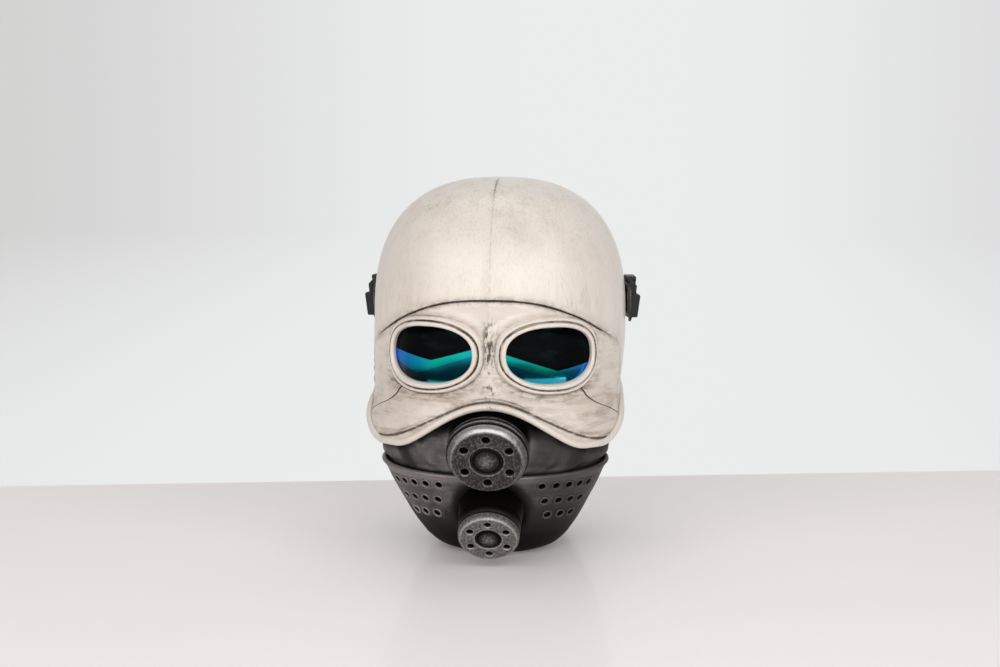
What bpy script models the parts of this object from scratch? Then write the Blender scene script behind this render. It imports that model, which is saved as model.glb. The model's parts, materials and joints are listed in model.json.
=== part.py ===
"""Costume helmet of the gas-mask kind, standing upright. Metres, +Z up, the face towards -Y.

The shell, muzzle, chin guard and nape guard are lofted through level sections. Each section is read from a short
table of shares, and a piece that seats on another takes its surface from the other's sections and a clearance.
"""

from collections import namedtuple
from math import cos, pi, radians, sin

import bmesh
import bpy
import numpy as np
from mathutils import Matrix, Vector

# Shell: the dome rises from its spring line, and the rim falls from the arch over the muzzle to the cheeks
HELMET_HEIGHT = 0.297
DOME_WIDTH = 0.203
DOME_SPRING_HEIGHT = 0.187
BROW_REACH = 0.106
BACK_REACH = 0.125
SHELL_WALL = 0.003
CHEEK_HEIGHT = 0.095
REAR_RIM_HEIGHT = 0.131
LIP_FLARE = 0.002
LIP_FLARE_HEIGHT = 0.005
CHEEK_START = radians(46)
CHEEK_END = radians(58)
REAR_START = radians(108)

# Heights of the lower face, which all follow the upper canister
UPPER_SEAT_HEIGHT = 0.1025
LOWER_SEAT_SHARE = 0.4244
MUZZLE_RISE = 0.0315
LIP_LAP = 0.008
CHIN_DROP = 0.0315
CHIN_CORNER_RISE = 0.007
MUZZLE_LAP = 0.009
LOWER_SEAT_HEIGHT = LOWER_SEAT_SHARE * UPPER_SEAT_HEIGHT
MUZZLE_TOP = UPPER_SEAT_HEIGHT + MUZZLE_RISE
LIP_ARCH_HEIGHT = MUZZLE_TOP - LIP_LAP
CHIN_FRONT_TOP = UPPER_SEAT_HEIGHT - CHIN_DROP
CHIN_CORNER_TOP = CHIN_FRONT_TOP + CHIN_CORNER_RISE
MUZZLE_BOTTOM = CHIN_FRONT_TOP - MUZZLE_LAP

# Eyepieces: level ovals, turned outwards with the face
EYE_SPACING = 0.093
EYE_LEVEL = 0.1665
EYE_WIDTH = 0.070
EYE_HEIGHT = 0.043
EYE_YAW = radians(25)
EYE_PITCH = radians(-4)
RIM_BAND = 0.0078
RIM_RISE = 0.0052
LENS_LAP = 0.0015
LENS_THICKNESS = 0.002

# Muzzle
MUZZLE_WIDTH = 0.179
MUZZLE_REACH = 0.1005
MUZZLE_WALL = 0.0025
MUZZLE_SHOULDER = 0.007
MUZZLE_SWEEP = radians(99)

# Chin guard: a bowl with a level sole
CHIN_WIDTH = 0.176
CHIN_REACH = 0.104
CHIN_CORNER = 0.050
CHIN_WALL = 0.003
CHIN_RIM_FLARE = 0.0015
CHIN_SWEEP = radians(112)
VENT_RADIUS = 0.0034

# Nape guard: a panel behind the neck, cut level at its foot
NAPE_WIDTH = 0.188
NAPE_REACH = 0.111
NAPE_TOP = 0.142
NAPE_WALL = 0.003
NAPE_TUCK = 0.030
NAPE_SWEEP = radians(75)

# Filter canisters: radii, and depths that are measured back from the face
UPPER_STAND_OFF = 0.0317
UPPER_TILT = radians(25)
UPPER_FACE_RADIUS = 0.0270
UPPER_RING_RADIUS = 0.0320
UPPER_NECK_RADIUS = 0.0245
UPPER_SPIGOT_RADIUS = 0.0200
UPPER_RING_DEPTH = 0.0140
UPPER_LENGTH = 0.0420
LOWER_STAND_OFF = 0.0314
LOWER_TILT = radians(34)
LOWER_FACE_RADIUS = 0.0220
LOWER_TUBE_RADIUS = 0.0252
LOWER_LENGTH = 0.0380
FILTER_WALL = 0.003
FACE_THICKNESS = 0.004
UPPER_CAP_RADIUS = 0.0125
LOWER_CAP_RADIUS = 0.0100
CAP_SINK = 0.0025
CAP_DOME = 0.0035
FILTER_VENTS = 6
UPPER_VENT_RADIUS = 0.0036
LOWER_VENT_RADIUS = 0.0030

# Strap and side buckles
STRAP_WIDTH = 0.025
STRAP_THICKNESS = 0.0016
STRAP_LEVEL = 0.197
STRAP_LIFT = 0.0055
STRAP_EASE = radians(30)
BUCKLE_AZIMUTH = radians(103)
BUCKLE_LENGTH = 0.036
BUCKLE_HEIGHT = 0.034
BUCKLE_THICKNESS = 0.0085
BASE_LENGTH = 0.042
BASE_HEIGHT = 0.024
BASE_THICKNESS = 0.0025
BUCKLE_SLOT_DEPTH = 0.020

# Fits between neighbours
SEAT_CLEARANCE = 0.0004
WALL_CLEARANCE = 0.0006
BORE_CLEARANCE = 0.0003

COLLECTION_NAME = "gas_mask_helmet"
MERGE_DISTANCE = 0.00001

# Level sections, from the lowest up. height is a share of the piece's own height, half_width, front and back are
# shares of its half width and reaches, and widest is how far ahead of the ears the section is widest
Section = namedtuple("Section", "height half_width front back widest")
SHELL_SECTIONS = (
    Section(0.45, 0.940, 1.035, 0.86, 0.46),
    Section(0.60, 0.985, 1.065, 0.90, 0.42),
    Section(0.70, 0.965, 1.045, 0.93, 0.28),
    Section(0.80, 0.985, 1.000, 0.975, 0.08),
    Section(0.90, 1.000, 0.985, 0.995, 0.00),
    Section(1.00, 1.000, 1.000, 1.000, -0.05),
)
CHIN_SECTIONS = (
    Section(0.00, 0.40, 0.47, 0.0, 0.36),
    Section(0.05, 0.50, 0.56, 0.0, 0.46),
    Section(0.15, 0.61, 0.66, 0.0, 0.56),
    Section(0.28, 0.695, 0.74, 0.0, 0.66),
    Section(0.59, 0.845, 0.87, 0.0, 0.84),
    Section(0.88, 0.965, 0.98, 0.0, 0.97),
    Section(1.00, 1.000, 1.005, 0.0, 1.00),
)
MUZZLE_SECTIONS = (
    Section(0.0, 0.96, 0.93, 0.0, 0.50),
    Section(0.3, 1.00, 0.96, 0.0, 0.47),
    Section(0.6, 1.02, 1.00, 0.0, 0.42),
    Section(1.0, 1.03, 1.05, 0.0, 0.32),
)
NAPE_SECTIONS = (
    Section(0.00, 0.50, 0.0, 0.64, -0.20),
    Section(0.16, 0.70, 0.0, 0.81, 0.00),
    Section(0.33, 0.84, 0.0, 0.91, 0.15),
    Section(0.60, 0.94, 0.0, 0.97, 0.26),
    Section(1.00, 1.00, 0.0, 1.00, 0.26),
)
DOME_SIDE_POWER = 2.5
DOME_FRONT_POWER = 2.35
DOME_BACK_POWER = 2.2
PLAN_POWER = 2.2
CHIN_PLAN_POWER = 2.15
EYE_POWER = 2.4

# Vent rows of the chin guard on one side: height as a share of the guard, angles from the middle
VentRow = namedtuple("VentRow", "height first last count")
VENT_ROWS = (
    VentRow(0.82, radians(27), radians(63), 5),
    VentRow(0.65, radians(31), radians(61), 4),
    VentRow(0.49, radians(36), radians(58), 3),
)

# Steps of the lofted surfaces
SHELL_COLUMNS = 50
WALL_ROWS = 10
DOME_ROWS = 7
GUARD_COLUMNS = 26
NAPE_COLUMNS = 18
TURN_STEPS = 24

Finish = namedtuple("Finish", "colour metallic roughness")
FINISHES = {
    "ivory_paint": Finish((0.78, 0.71, 0.63), 0.0, 0.38),
    "gunmetal_paint": Finish((0.075, 0.066, 0.064), 0.55, 0.42),
    "filter_metal": Finish((0.16, 0.15, 0.145), 0.75, 0.40),
    "mirror_lens": Finish((0.008, 0.012, 0.016), 0.3, 0.05),
    "black_plastic": Finish((0.015, 0.015, 0.017), 0.0, 0.45),
    "black_webbing": Finish((0.012, 0.012, 0.013), 0.0, 0.85),
}


def clear_scene():
    for item in list(bpy.data.objects):
        bpy.data.objects.remove(item)


def make_collections():
    parts = bpy.data.collections.new(COLLECTION_NAME)
    cutters = bpy.data.collections.new("cutters")
    for collection in (parts, cutters):
        bpy.context.scene.collection.children.link(collection)
    return parts, cutters


def make_materials():
    materials = {}
    for name, finish in FINISHES.items():
        material = bpy.data.materials.new(name)
        material.use_nodes = True
        shader = material.node_tree.nodes["Principled BSDF"]
        shader.inputs["Base Color"].default_value = (*finish.colour, 1.0)
        shader.inputs["Metallic"].default_value = finish.metallic
        shader.inputs["Roughness"].default_value = finish.roughness
        materials[name] = material
    return materials


def along(sections, column, share):
    """A column of a section table at a share of the height, on a smooth curve through its rows."""
    places = [row.height for row in sections]
    values = [getattr(row, column) for row in sections]
    slopes = np.gradient(values, places)
    share = min(max(share, places[0]), places[-1])
    low = int(np.clip(np.searchsorted(places, share) - 1, 0, len(places) - 2))
    span = places[low + 1] - places[low]
    t = (share - places[low]) / span
    ease = t * t * (3 - 2 * t)
    start_pull = t * (1 - t) ** 2 * slopes[low] * span
    end_pull = t * t * (t - 1) * slopes[low + 1] * span
    return float(values[low] * (1 - ease) + values[low + 1] * ease + start_pull + end_pull)


def smooth(low, high, value):
    """0 below low, 1 above high, and an even ease between them."""
    t = min(max((value - low) / (high - low), 0.0), 1.0)
    return t * t * (3 - 2 * t)


def power(value, exponent):
    return abs(value) ** exponent * (1 if value >= 0 else -1)


def plan_point(half_width, front, back, widest, azimuth, height, plan_power):
    """A point of a level section. Azimuth 0 is the middle of the face, and a quarter turn is the widest place."""
    x = half_width * power(sin(azimuth), 2 / plan_power)
    reach = front - widest if cos(azimuth) >= 0 else back + widest
    ahead = widest + reach * power(cos(azimuth), 2 / plan_power)
    return Vector((x, -ahead, height))


def shell_section(height):
    """Half width, front reach, back reach and widest place of the shell's outer face at a height."""
    share = height / DOME_SPRING_HEIGHT
    sizes = [
        along(SHELL_SECTIONS, "half_width", share) * DOME_WIDTH / 2,
        along(SHELL_SECTIONS, "front", share) * BROW_REACH,
        along(SHELL_SECTIONS, "back", share) * BACK_REACH,
        along(SHELL_SECTIONS, "widest", share) * BROW_REACH,
    ]
    if height > DOME_SPRING_HEIGHT:
        rise = min((height - DOME_SPRING_HEIGHT) / (HELMET_HEIGHT - DOME_SPRING_HEIGHT), 1.0)
        powers = (DOME_SIDE_POWER, DOME_FRONT_POWER, DOME_BACK_POWER, DOME_BACK_POWER)
        sizes = [size * (1 - rise**p) ** (1 / p) for size, p in zip(sizes, powers, strict=True)]
    return sizes


def rim_height(azimuth):
    """Height of the shell's lower edge: an arch over the muzzle, low cheeks and a level rear rim."""
    turn = abs(azimuth)
    if turn < CHEEK_START:
        fall = smooth(0, CHEEK_START, turn)
        return LIP_ARCH_HEIGHT + (CHEEK_HEIGHT - LIP_ARCH_HEIGHT) * fall
    return CHEEK_HEIGHT + (REAR_RIM_HEIGHT - CHEEK_HEIGHT) * smooth(CHEEK_END, REAR_START, turn)


def shell_point(azimuth, height, inset=0.0):
    """A point of the shell's outer face, or of a surface inset from it."""
    half_width, front, back, widest = shell_section(height)
    above = (height - rim_height(azimuth)) / LIP_FLARE_HEIGHT
    grow = LIP_FLARE * np.exp(-above * above) - inset
    return plan_point(half_width + grow, front + grow, back + grow, widest, azimuth, height, PLAN_POWER)


def face_depth(x, height):
    """How far ahead of the ears the shell's face lies at a place seen from the front."""
    half_width, front, _, widest = shell_section(height)
    share = min(abs(x) / half_width, 1.0)
    return widest + (front - widest) * (1 - share**PLAN_POWER) ** (1 / PLAN_POWER)


def chin_top(azimuth):
    """Height of the chin guard's upper edge, which rises evenly from the middle to the corners and behind them."""
    return CHIN_FRONT_TOP + (CHIN_CORNER_TOP - CHIN_FRONT_TOP) * (1 - cos(azimuth))


def chin_point(azimuth, height, inset=0.0):
    """A point of the chin guard's outer face, or of a surface inset from it."""
    share = height / CHIN_CORNER_TOP
    above = (height - chin_top(azimuth)) / LIP_FLARE_HEIGHT
    grow = CHIN_RIM_FLARE * np.exp(-above * above) - inset
    half_width = along(CHIN_SECTIONS, "half_width", share) * CHIN_WIDTH / 2 + grow
    front = along(CHIN_SECTIONS, "front", share) * CHIN_REACH + grow
    corner = along(CHIN_SECTIONS, "widest", share) * CHIN_CORNER
    return plan_point(half_width, front, 0.0, corner, azimuth, height, CHIN_PLAN_POWER)


def muzzle_point(azimuth, height):
    """The muzzle rises inside the chin guard, swells over its rim and ends inside the shell."""
    share = (height - MUZZLE_BOTTOM) / (MUZZLE_TOP - MUZZLE_BOTTOM)
    half_width = along(MUZZLE_SECTIONS, "half_width", share) * MUZZLE_WIDTH / 2
    front = along(MUZZLE_SECTIONS, "front", share) * MUZZLE_REACH
    corner = along(MUZZLE_SECTIONS, "widest", share) * MUZZLE_REACH
    own = plan_point(half_width, front, 0.0, corner, azimuth, height, PLAN_POWER)
    in_chin = chin_point(azimuth, height, 1.2 * CHIN_WALL + WALL_CLEARANCE + CHIN_RIM_FLARE)
    in_shell = shell_point(azimuth, height, SHELL_WALL + WALL_CLEARANCE)
    out_of_chin = smooth(0, MUZZLE_SHOULDER, height - chin_top(azimuth) - WALL_CLEARANCE)
    into_shell = smooth(0.55, 1.0, share)
    return in_chin.lerp(own, out_of_chin).lerp(in_shell, into_shell)


def nape_point(azimuth, height):
    """The nape guard, whose upper edge lies inside the shell's rear rim. A half turn is its middle."""
    share = height / NAPE_TOP
    half_width = along(NAPE_SECTIONS, "half_width", share) * NAPE_WIDTH / 2
    back = along(NAPE_SECTIONS, "back", share) * NAPE_REACH
    corner = along(NAPE_SECTIONS, "widest", share) * NAPE_REACH
    own = plan_point(half_width, 0.0, back, corner, azimuth, height, PLAN_POWER)
    in_shell = shell_point(azimuth, height, SHELL_WALL + WALL_CLEARANCE)
    own_depth = REAR_RIM_HEIGHT - NAPE_TUCK
    return own.lerp(in_shell, smooth(own_depth, REAR_RIM_HEIGHT, height))


def unit_normal(surface, azimuth, height):
    """The way out of a surface that is given by azimuth and height."""
    step = 0.001
    along_azimuth = surface(azimuth + step, height) - surface(azimuth - step, height)
    along_height = surface(azimuth, height + step) - surface(azimuth, height - step)
    return along_azimuth.cross(along_height).normalized()


def new_object(name, mesh, material, collection):
    item = bpy.data.objects.new(name, mesh)
    collection.objects.link(item)
    if material is not None:
        mesh.materials.append(material)
    return item


def lofted_mesh(name, columns, rows, place, flip=False):
    """A grid of columns by rows, each vertex put where place(u, v) says, with its seams and poles welded."""
    mesh = bpy.data.meshes.new(name)
    form = bmesh.new()
    bmesh.ops.create_grid(form, x_segments=columns, y_segments=rows, size=0.5)
    for vertex in form.verts:
        vertex.co = place(vertex.co.x + 0.5, vertex.co.y + 0.5)
    bmesh.ops.remove_doubles(form, verts=form.verts, dist=MERGE_DISTANCE)
    if flip:
        bmesh.ops.reverse_faces(form, faces=form.faces)
    form.to_mesh(mesh)
    form.free()
    mesh.shade_smooth()
    mesh.set_sharp_from_angle(angle=radians(40))
    return mesh


def add_wall(item, thickness):
    wall = item.modifiers.new("wall", "SOLIDIFY")
    wall.thickness = thickness
    wall.offset = -1
    wall.use_even_offset = True


def cut(item, cutter):
    hole = item.modifiers.new(cutter.name, "BOOLEAN")
    hole.operation = "DIFFERENCE"
    hole.solver = "EXACT"
    hole.object = cutter


def as_cutter(item):
    item.hide_render = True
    item.display_type = "WIRE"
    return item


def helmet_shell(parts, cutters, material):
    split = WALL_ROWS / (WALL_ROWS + DOME_ROWS)

    def place(u, v):
        azimuth = 2 * pi * u - pi
        if v <= split:
            low = rim_height(azimuth)
            return shell_point(azimuth, low + (DOME_SPRING_HEIGHT - low) * v / split)
        lean = (v - split) / (1 - split) * pi / 2
        rise = min(sin(lean) ** (2 / DOME_SIDE_POWER), 1.0)
        return shell_point(azimuth, DOME_SPRING_HEIGHT + (HELMET_HEIGHT - DOME_SPRING_HEIGHT) * rise)

    mesh = lofted_mesh("helmet_shell", SHELL_COLUMNS, WALL_ROWS + DOME_ROWS, place)
    shell = new_object("helmet_shell", mesh, material, parts)
    add_wall(shell, SHELL_WALL)
    for side in (-1, 1):
        cut(shell, eye_cutter(side, cutters))
    return shell


def eye_frame(side):
    """Centre of an eye opening on the shell's face, and its sideways, upward and outward directions."""
    x = side * EYE_SPACING / 2
    centre = Vector((x, -face_depth(x, EYE_LEVEL), EYE_LEVEL))
    turn = Matrix.Rotation(side * EYE_YAW, 3, "Z") @ Matrix.Rotation(-EYE_PITCH, 3, "X")
    return centre, turn @ Vector((1, 0, 0)), turn @ Vector((0, 0, 1)), turn @ Vector((0, -1, 0))


def on_face(frame, across, up, lift):
    """The point of the shell's face that lies behind a place in an eye's plane, lifted off the face."""
    centre, sideways, upward, outward = frame
    flat = centre + across * sideways + up * upward
    depth = 0.0
    for _ in range(12):
        spot = flat + depth * outward
        depth += (face_depth(spot.x, spot.z) + spot.y) * 0.9
    return flat + (depth + lift) * outward


def oval(turn, grow):
    """A point of an eye opening's outline, grown by a margin, in the eye's plane."""
    across = (EYE_WIDTH / 2 + grow) * power(cos(turn), 2 / EYE_POWER)
    up = (EYE_HEIGHT / 2 + grow) * power(sin(turn), 2 / EYE_POWER)
    return across, up


def eye_cutter(side, cutters):
    """A prism through the shell's wall, wide enough for the lens."""
    frame = eye_frame(side)
    centre, sideways, upward, outward = frame
    half_depth = 0.03

    def place(u, v):
        across, up = oval(2 * pi * u, LENS_LAP + BORE_CLEARANCE)
        depth = (0.5 - v) * 2 * half_depth
        return centre + across * sideways + up * upward + depth * outward

    mesh = lofted_mesh("eye_cutter", 32, 1, place)
    close_ends(mesh)
    return as_cutter(new_object("eye_cutter", mesh, None, cutters))


def close_ends(mesh):
    """Fills a tube's open ends and turns its faces out."""
    form = bmesh.new()
    form.from_mesh(mesh)
    bmesh.ops.holes_fill(form, edges=form.edges, sides=0)
    bmesh.ops.recalc_face_normals(form, faces=form.faces)
    form.to_mesh(mesh)
    form.free()


def eyepiece_rim(side, name, parts, material):
    """A rounded band round the eye opening, lying on the shell and over the lens's edge."""
    frame = eye_frame(side)
    profile = (
        (0.0, SEAT_CLEARANCE),
        (0.0, 0.55 * RIM_RISE),
        (0.18 * RIM_BAND, 0.95 * RIM_RISE),
        (0.45 * RIM_BAND, RIM_RISE),
        (0.78 * RIM_BAND, 0.70 * RIM_RISE),
        (RIM_BAND, SEAT_CLEARANCE),
        (0.5 * RIM_BAND, SEAT_CLEARANCE),
    )

    def place(u, v):
        grow, lift = profile[round(v * len(profile)) % len(profile)]
        across, up = oval(2 * pi * u, grow)
        return on_face(frame, across, up, lift)

    mesh = lofted_mesh(name, 32, len(profile), place)
    close_ends(mesh)
    return new_object(name, mesh, material, parts)


def lens(side, name, parts, material):
    """A curved plate in the shell's eye opening, lapped by the rim all round, with its edge square to the eye."""
    frame = eye_frame(side)
    rows = 6

    def place(u, v):
        row = round(v * rows)
        spread = min(row, rows - row, rows // 2 - 1) / (rows // 2 - 1)
        across, up = oval(2 * pi * u, LENS_LAP)
        return on_face(frame, across * spread, up * spread, 0.0 if row < rows / 2 else -LENS_THICKNESS)

    mesh = lofted_mesh(name, 28, rows, place)
    close_ends(mesh)
    return new_object(name, mesh, material, parts)


def muzzle(parts, material):
    def place(u, v):
        azimuth = MUZZLE_SWEEP * (2 * u - 1)
        return muzzle_point(azimuth, MUZZLE_BOTTOM + (MUZZLE_TOP - MUZZLE_BOTTOM) * v)

    mesh = lofted_mesh("muzzle", GUARD_COLUMNS, 9, place)
    item = new_object("muzzle", mesh, material, parts)
    add_wall(item, MUZZLE_WALL)
    return item


def chin_guard(parts, material):
    """A bowl round the jaw whose level sole is one plate with its wall."""
    sole = 0.2
    rear = chin_point(CHIN_SWEEP, 0.0)
    middle = Vector((0.0, rear.y, 0.0))

    def place(u, v):
        azimuth = CHIN_SWEEP * (2 * u - 1)
        if v >= sole:
            share = ((v - sole) / (1 - sole)) ** 1.3
            return chin_point(azimuth, chin_top(azimuth) * share)
        return middle.lerp(chin_point(azimuth, 0.0), v / sole)

    mesh = lofted_mesh("chin_guard", GUARD_COLUMNS, 10, place)
    item = new_object("chin_guard", mesh, material, parts)
    add_wall(item, CHIN_WALL)
    return item


def nape_guard(parts, cutters, material):
    below_floor = 0.006

    def place(u, v):
        azimuth = pi + NAPE_SWEEP * (2 * u - 1)
        return nape_point(azimuth, NAPE_TOP * v - below_floor * (1 - v))

    mesh = lofted_mesh("nape_guard", NAPE_COLUMNS, 8, place)
    item = new_object("nape_guard", mesh, material, parts)
    add_wall(item, NAPE_WALL)
    floor = block("floor_cutter", (0.5, 0.5, 0.05), (0.0, 0.0, -0.025), None, cutters)
    cut(item, as_cutter(floor))
    return item


def block(name, size, place, material, collection, bevel=0.0):
    """A box of a size, centred on a place, with rounded edges if asked."""
    bpy.ops.mesh.primitive_cube_add(size=1)
    item = bpy.context.object
    item.name = name
    item.data.name = name
    item.data.transform(Matrix.Diagonal((*size, 1)))
    item.location = place
    for holder in list(item.users_collection):
        holder.objects.unlink(item)
    collection.objects.link(item)
    if material is not None:
        item.data.materials.append(material)
    if bevel:
        rounding = item.modifiers.new("rounding", "BEVEL")
        rounding.width = min(bevel, 0.45 * min(size))
        rounding.segments = 1
    return item


def turned(name, profile, material, collection):
    """A body of revolution about its own Z axis, from a profile of radius and height, its face at height 0."""
    mesh = bpy.data.meshes.new(name)
    form = bmesh.new()
    corners = [form.verts.new((radius, 0.0, height)) for radius, height in profile]
    for start, end in zip(corners, corners[1:], strict=False):
        form.edges.new((start, end))
    form.to_mesh(mesh)
    form.free()
    item = new_object(name, mesh, material, collection)
    turn = item.modifiers.new("turn", "SCREW")
    turn.steps = TURN_STEPS
    turn.render_steps = TURN_STEPS
    turn.use_merge_vertices = True
    turn.merge_threshold = MERGE_DISTANCE
    return item


def aim(item, face_centre, tilt):
    """Turns a body's Z axis forwards and down by tilt, with its face at a place."""
    item.location = face_centre
    item.rotation_euler = (pi / 2 + tilt, 0.0, 0.0)


def face_centre(seat, stand_off, tilt):
    return seat + stand_off * Vector((0.0, -cos(tilt), -sin(tilt)))


def upper_profile(grow=0.0):
    """Outer profile of the upper canister, from its face back, grown by a clearance."""
    ring = UPPER_RING_DEPTH
    return [
        (UPPER_FACE_RADIUS + grow, grow),
        (UPPER_FACE_RADIUS + 0.3 * (UPPER_RING_RADIUS - UPPER_FACE_RADIUS) + grow, -0.15 * ring + grow),
        (UPPER_FACE_RADIUS + 0.5 * (UPPER_RING_RADIUS - UPPER_FACE_RADIUS) + grow, -0.45 * ring),
        (UPPER_RING_RADIUS + grow, -0.6 * ring),
        (UPPER_RING_RADIUS + grow, -ring - grow),
        (UPPER_NECK_RADIUS + grow, -ring - grow),
        (UPPER_NECK_RADIUS + grow, -1.5 * ring - grow),
        (UPPER_SPIGOT_RADIUS + grow, -1.5 * ring - grow),
        (UPPER_SPIGOT_RADIUS + grow, -UPPER_LENGTH - grow),
    ]


def lower_profile(grow=0.0):
    """Outer profile of the lower canister, from its face back, grown by a clearance."""
    return [
        (LOWER_FACE_RADIUS + grow, grow),
        (LOWER_FACE_RADIUS + 0.5 * (LOWER_TUBE_RADIUS - LOWER_FACE_RADIUS) + grow, -0.08 * LOWER_LENGTH),
        (LOWER_FACE_RADIUS + 0.6 * (LOWER_TUBE_RADIUS - LOWER_FACE_RADIUS) + grow, -0.35 * LOWER_LENGTH),
        (LOWER_TUBE_RADIUS + grow, -0.8 * LOWER_LENGTH),
        (LOWER_TUBE_RADIUS + grow, -LOWER_LENGTH - grow),
    ]


def face_recess(cap_radius):
    """The sunk seat of the centre cap, from the axis outwards."""
    seat = cap_radius + BORE_CLEARANCE
    return [(0.0, -CAP_SINK), (seat, -CAP_SINK), (seat, 0.0)]


def upper_filter(parts, cutters, material):
    bore = UPPER_SPIGOT_RADIUS - FILTER_WALL
    chamber = UPPER_FACE_RADIUS - FILTER_WALL / 2
    floor = -FACE_THICKNESS - CAP_SINK
    inside = [
        (bore, -UPPER_LENGTH),
        (bore, -UPPER_RING_DEPTH + FILTER_WALL / 2),
        (chamber, -UPPER_RING_DEPTH + FILTER_WALL / 2),
        (chamber, floor),
        (0.0, floor),
    ]
    profile = face_recess(UPPER_CAP_RADIUS) + upper_profile() + inside
    item = turned("upper_filter", profile, material, parts)
    circle = (UPPER_CAP_RADIUS + UPPER_FACE_RADIUS) / 2
    drill_face(item, "upper_vent_cutter", circle, UPPER_VENT_RADIUS, cutters)
    return item


def lower_filter(parts, cutters, material):
    bore = LOWER_FACE_RADIUS - FILTER_WALL / 2
    floor = -FACE_THICKNESS - CAP_SINK
    inside = [(bore, -LOWER_LENGTH), (bore, floor), (0.0, floor)]
    profile = face_recess(LOWER_CAP_RADIUS) + lower_profile() + inside
    item = turned("lower_filter", profile, material, parts)
    circle = (LOWER_CAP_RADIUS + LOWER_FACE_RADIUS) / 2
    drill_face(item, "lower_vent_cutter", circle, LOWER_VENT_RADIUS, cutters)
    return item


def drill_face(item, name, circle, radius, cutters):
    """Bores a ring of vents through a canister's face."""
    form = bmesh.new()
    for index in range(FILTER_VENTS):
        turn = 2 * pi * (index + 0.5) / FILTER_VENTS
        place = Matrix.Translation((circle * cos(turn), circle * sin(turn), -CAP_SINK))
        depth = 2 * (FACE_THICKNESS + CAP_SINK) + 0.002
        bmesh.ops.create_cone(
            form,
            cap_ends=True,
            segments=10,
            radius1=radius,
            radius2=radius,
            depth=depth,
            matrix=place,
        )
    mesh = bpy.data.meshes.new(name)
    form.to_mesh(mesh)
    form.free()
    cutter = as_cutter(new_object(name, mesh, None, cutters))
    cutter.parent = item
    cut(item, cutter)


def filter_cap(name, radius, parts, material):
    """A domed cap in the sunk seat of a canister's face."""
    seat = -CAP_SINK + BORE_CLEARANCE
    profile = [
        (0.0, CAP_DOME - CAP_SINK),
        (0.5 * radius, 0.8 * CAP_DOME - CAP_SINK),
        (0.78 * radius, 0.5 * CAP_DOME - CAP_SINK),
        (0.82 * radius, 0.3 * CAP_DOME - CAP_SINK),
        (radius, 0.25 * CAP_DOME - CAP_SINK),
        (radius, seat),
        (0.0, seat),
    ]
    return turned(name, profile, material, parts)


def turned_cutter(name, profile, back, cutters):
    """A solid of a canister's grown outline, to make room for it in its neighbours."""
    whole = [(0.0, profile[0][1]), *profile, (0.0, profile[-1][1] - back)]
    return as_cutter(turned(name, whole, None, cutters))


def vent_cutters(cutters):
    """One bore for each vent of the chin guard, square to its face."""
    form = bmesh.new()
    for row in VENT_ROWS:
        height = row.height * CHIN_CORNER_TOP
        for side in (-1, 1):
            for azimuth in np.linspace(row.first, row.last, row.count):
                spot = chin_point(side * azimuth, height)
                outward = unit_normal(chin_point, side * azimuth, height)
                turn = outward.to_track_quat("Z", "Y").to_matrix().to_4x4()
                bmesh.ops.create_cone(
                    form,
                    cap_ends=True,
                    segments=8,
                    radius1=VENT_RADIUS,
                    radius2=VENT_RADIUS,
                    depth=6 * CHIN_WALL,
                    matrix=Matrix.Translation(spot) @ turn,
                )
    mesh = bpy.data.meshes.new("vent_cutter")
    form.to_mesh(mesh)
    form.free()
    return as_cutter(new_object("vent_cutter", mesh, None, cutters))


def buckle_frame(side):
    """Where a buckle sits on the shell, and its turn about Z: its own +X faces out of the shell."""
    spot = shell_point(side * BUCKLE_AZIMUTH, STRAP_LEVEL)
    outward = unit_normal(shell_point, side * BUCKLE_AZIMUTH, STRAP_LEVEL)
    outward.z = 0
    outward.normalize()
    return spot, outward


def put_on_shell(item, side, lift, along_strap=0.0):
    """Stands a block on the shell, lifted off it, with its length along the strap."""
    spot, outward = buckle_frame(side)
    backward = Vector((0, 0, 1)).cross(outward) * side
    item.location = spot + lift * outward + along_strap * backward
    item.rotation_euler = (0, 0, np.arctan2(outward.y, outward.x))


def buckle_base(side, name, parts, material):
    size = (BASE_THICKNESS, BASE_LENGTH, BASE_HEIGHT)
    item = block(name, size, (0, 0, 0), material, parts, bevel=0.0008)
    put_on_shell(item, side, SEAT_CLEARANCE + BASE_THICKNESS / 2)
    return item


def buckle_lift():
    """Height of the strap's middle over the shell inside the buckle."""
    return SEAT_CLEARANCE + BASE_THICKNESS + BORE_CLEARANCE + BUCKLE_THICKNESS / 2


def strap_buckle(side, name, parts, cutters, material):
    """The buckle's body, with the slot that takes the strap's end."""
    size = (BUCKLE_THICKNESS, BUCKLE_LENGTH, BUCKLE_HEIGHT)
    item = block(name, size, (0, 0, 0), material, parts, bevel=0.0018)
    put_on_shell(item, side, buckle_lift())
    slot_size = (
        STRAP_THICKNESS + 2 * WALL_CLEARANCE,
        2 * BUCKLE_SLOT_DEPTH,
        STRAP_WIDTH + 2 * WALL_CLEARANCE,
    )
    slot = block(name + "_slot", slot_size, (0, 0, 0), None, cutters)
    put_on_shell(slot, side, buckle_lift(), BUCKLE_LENGTH / 2)
    cut(item, as_cutter(slot))
    return item


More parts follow.
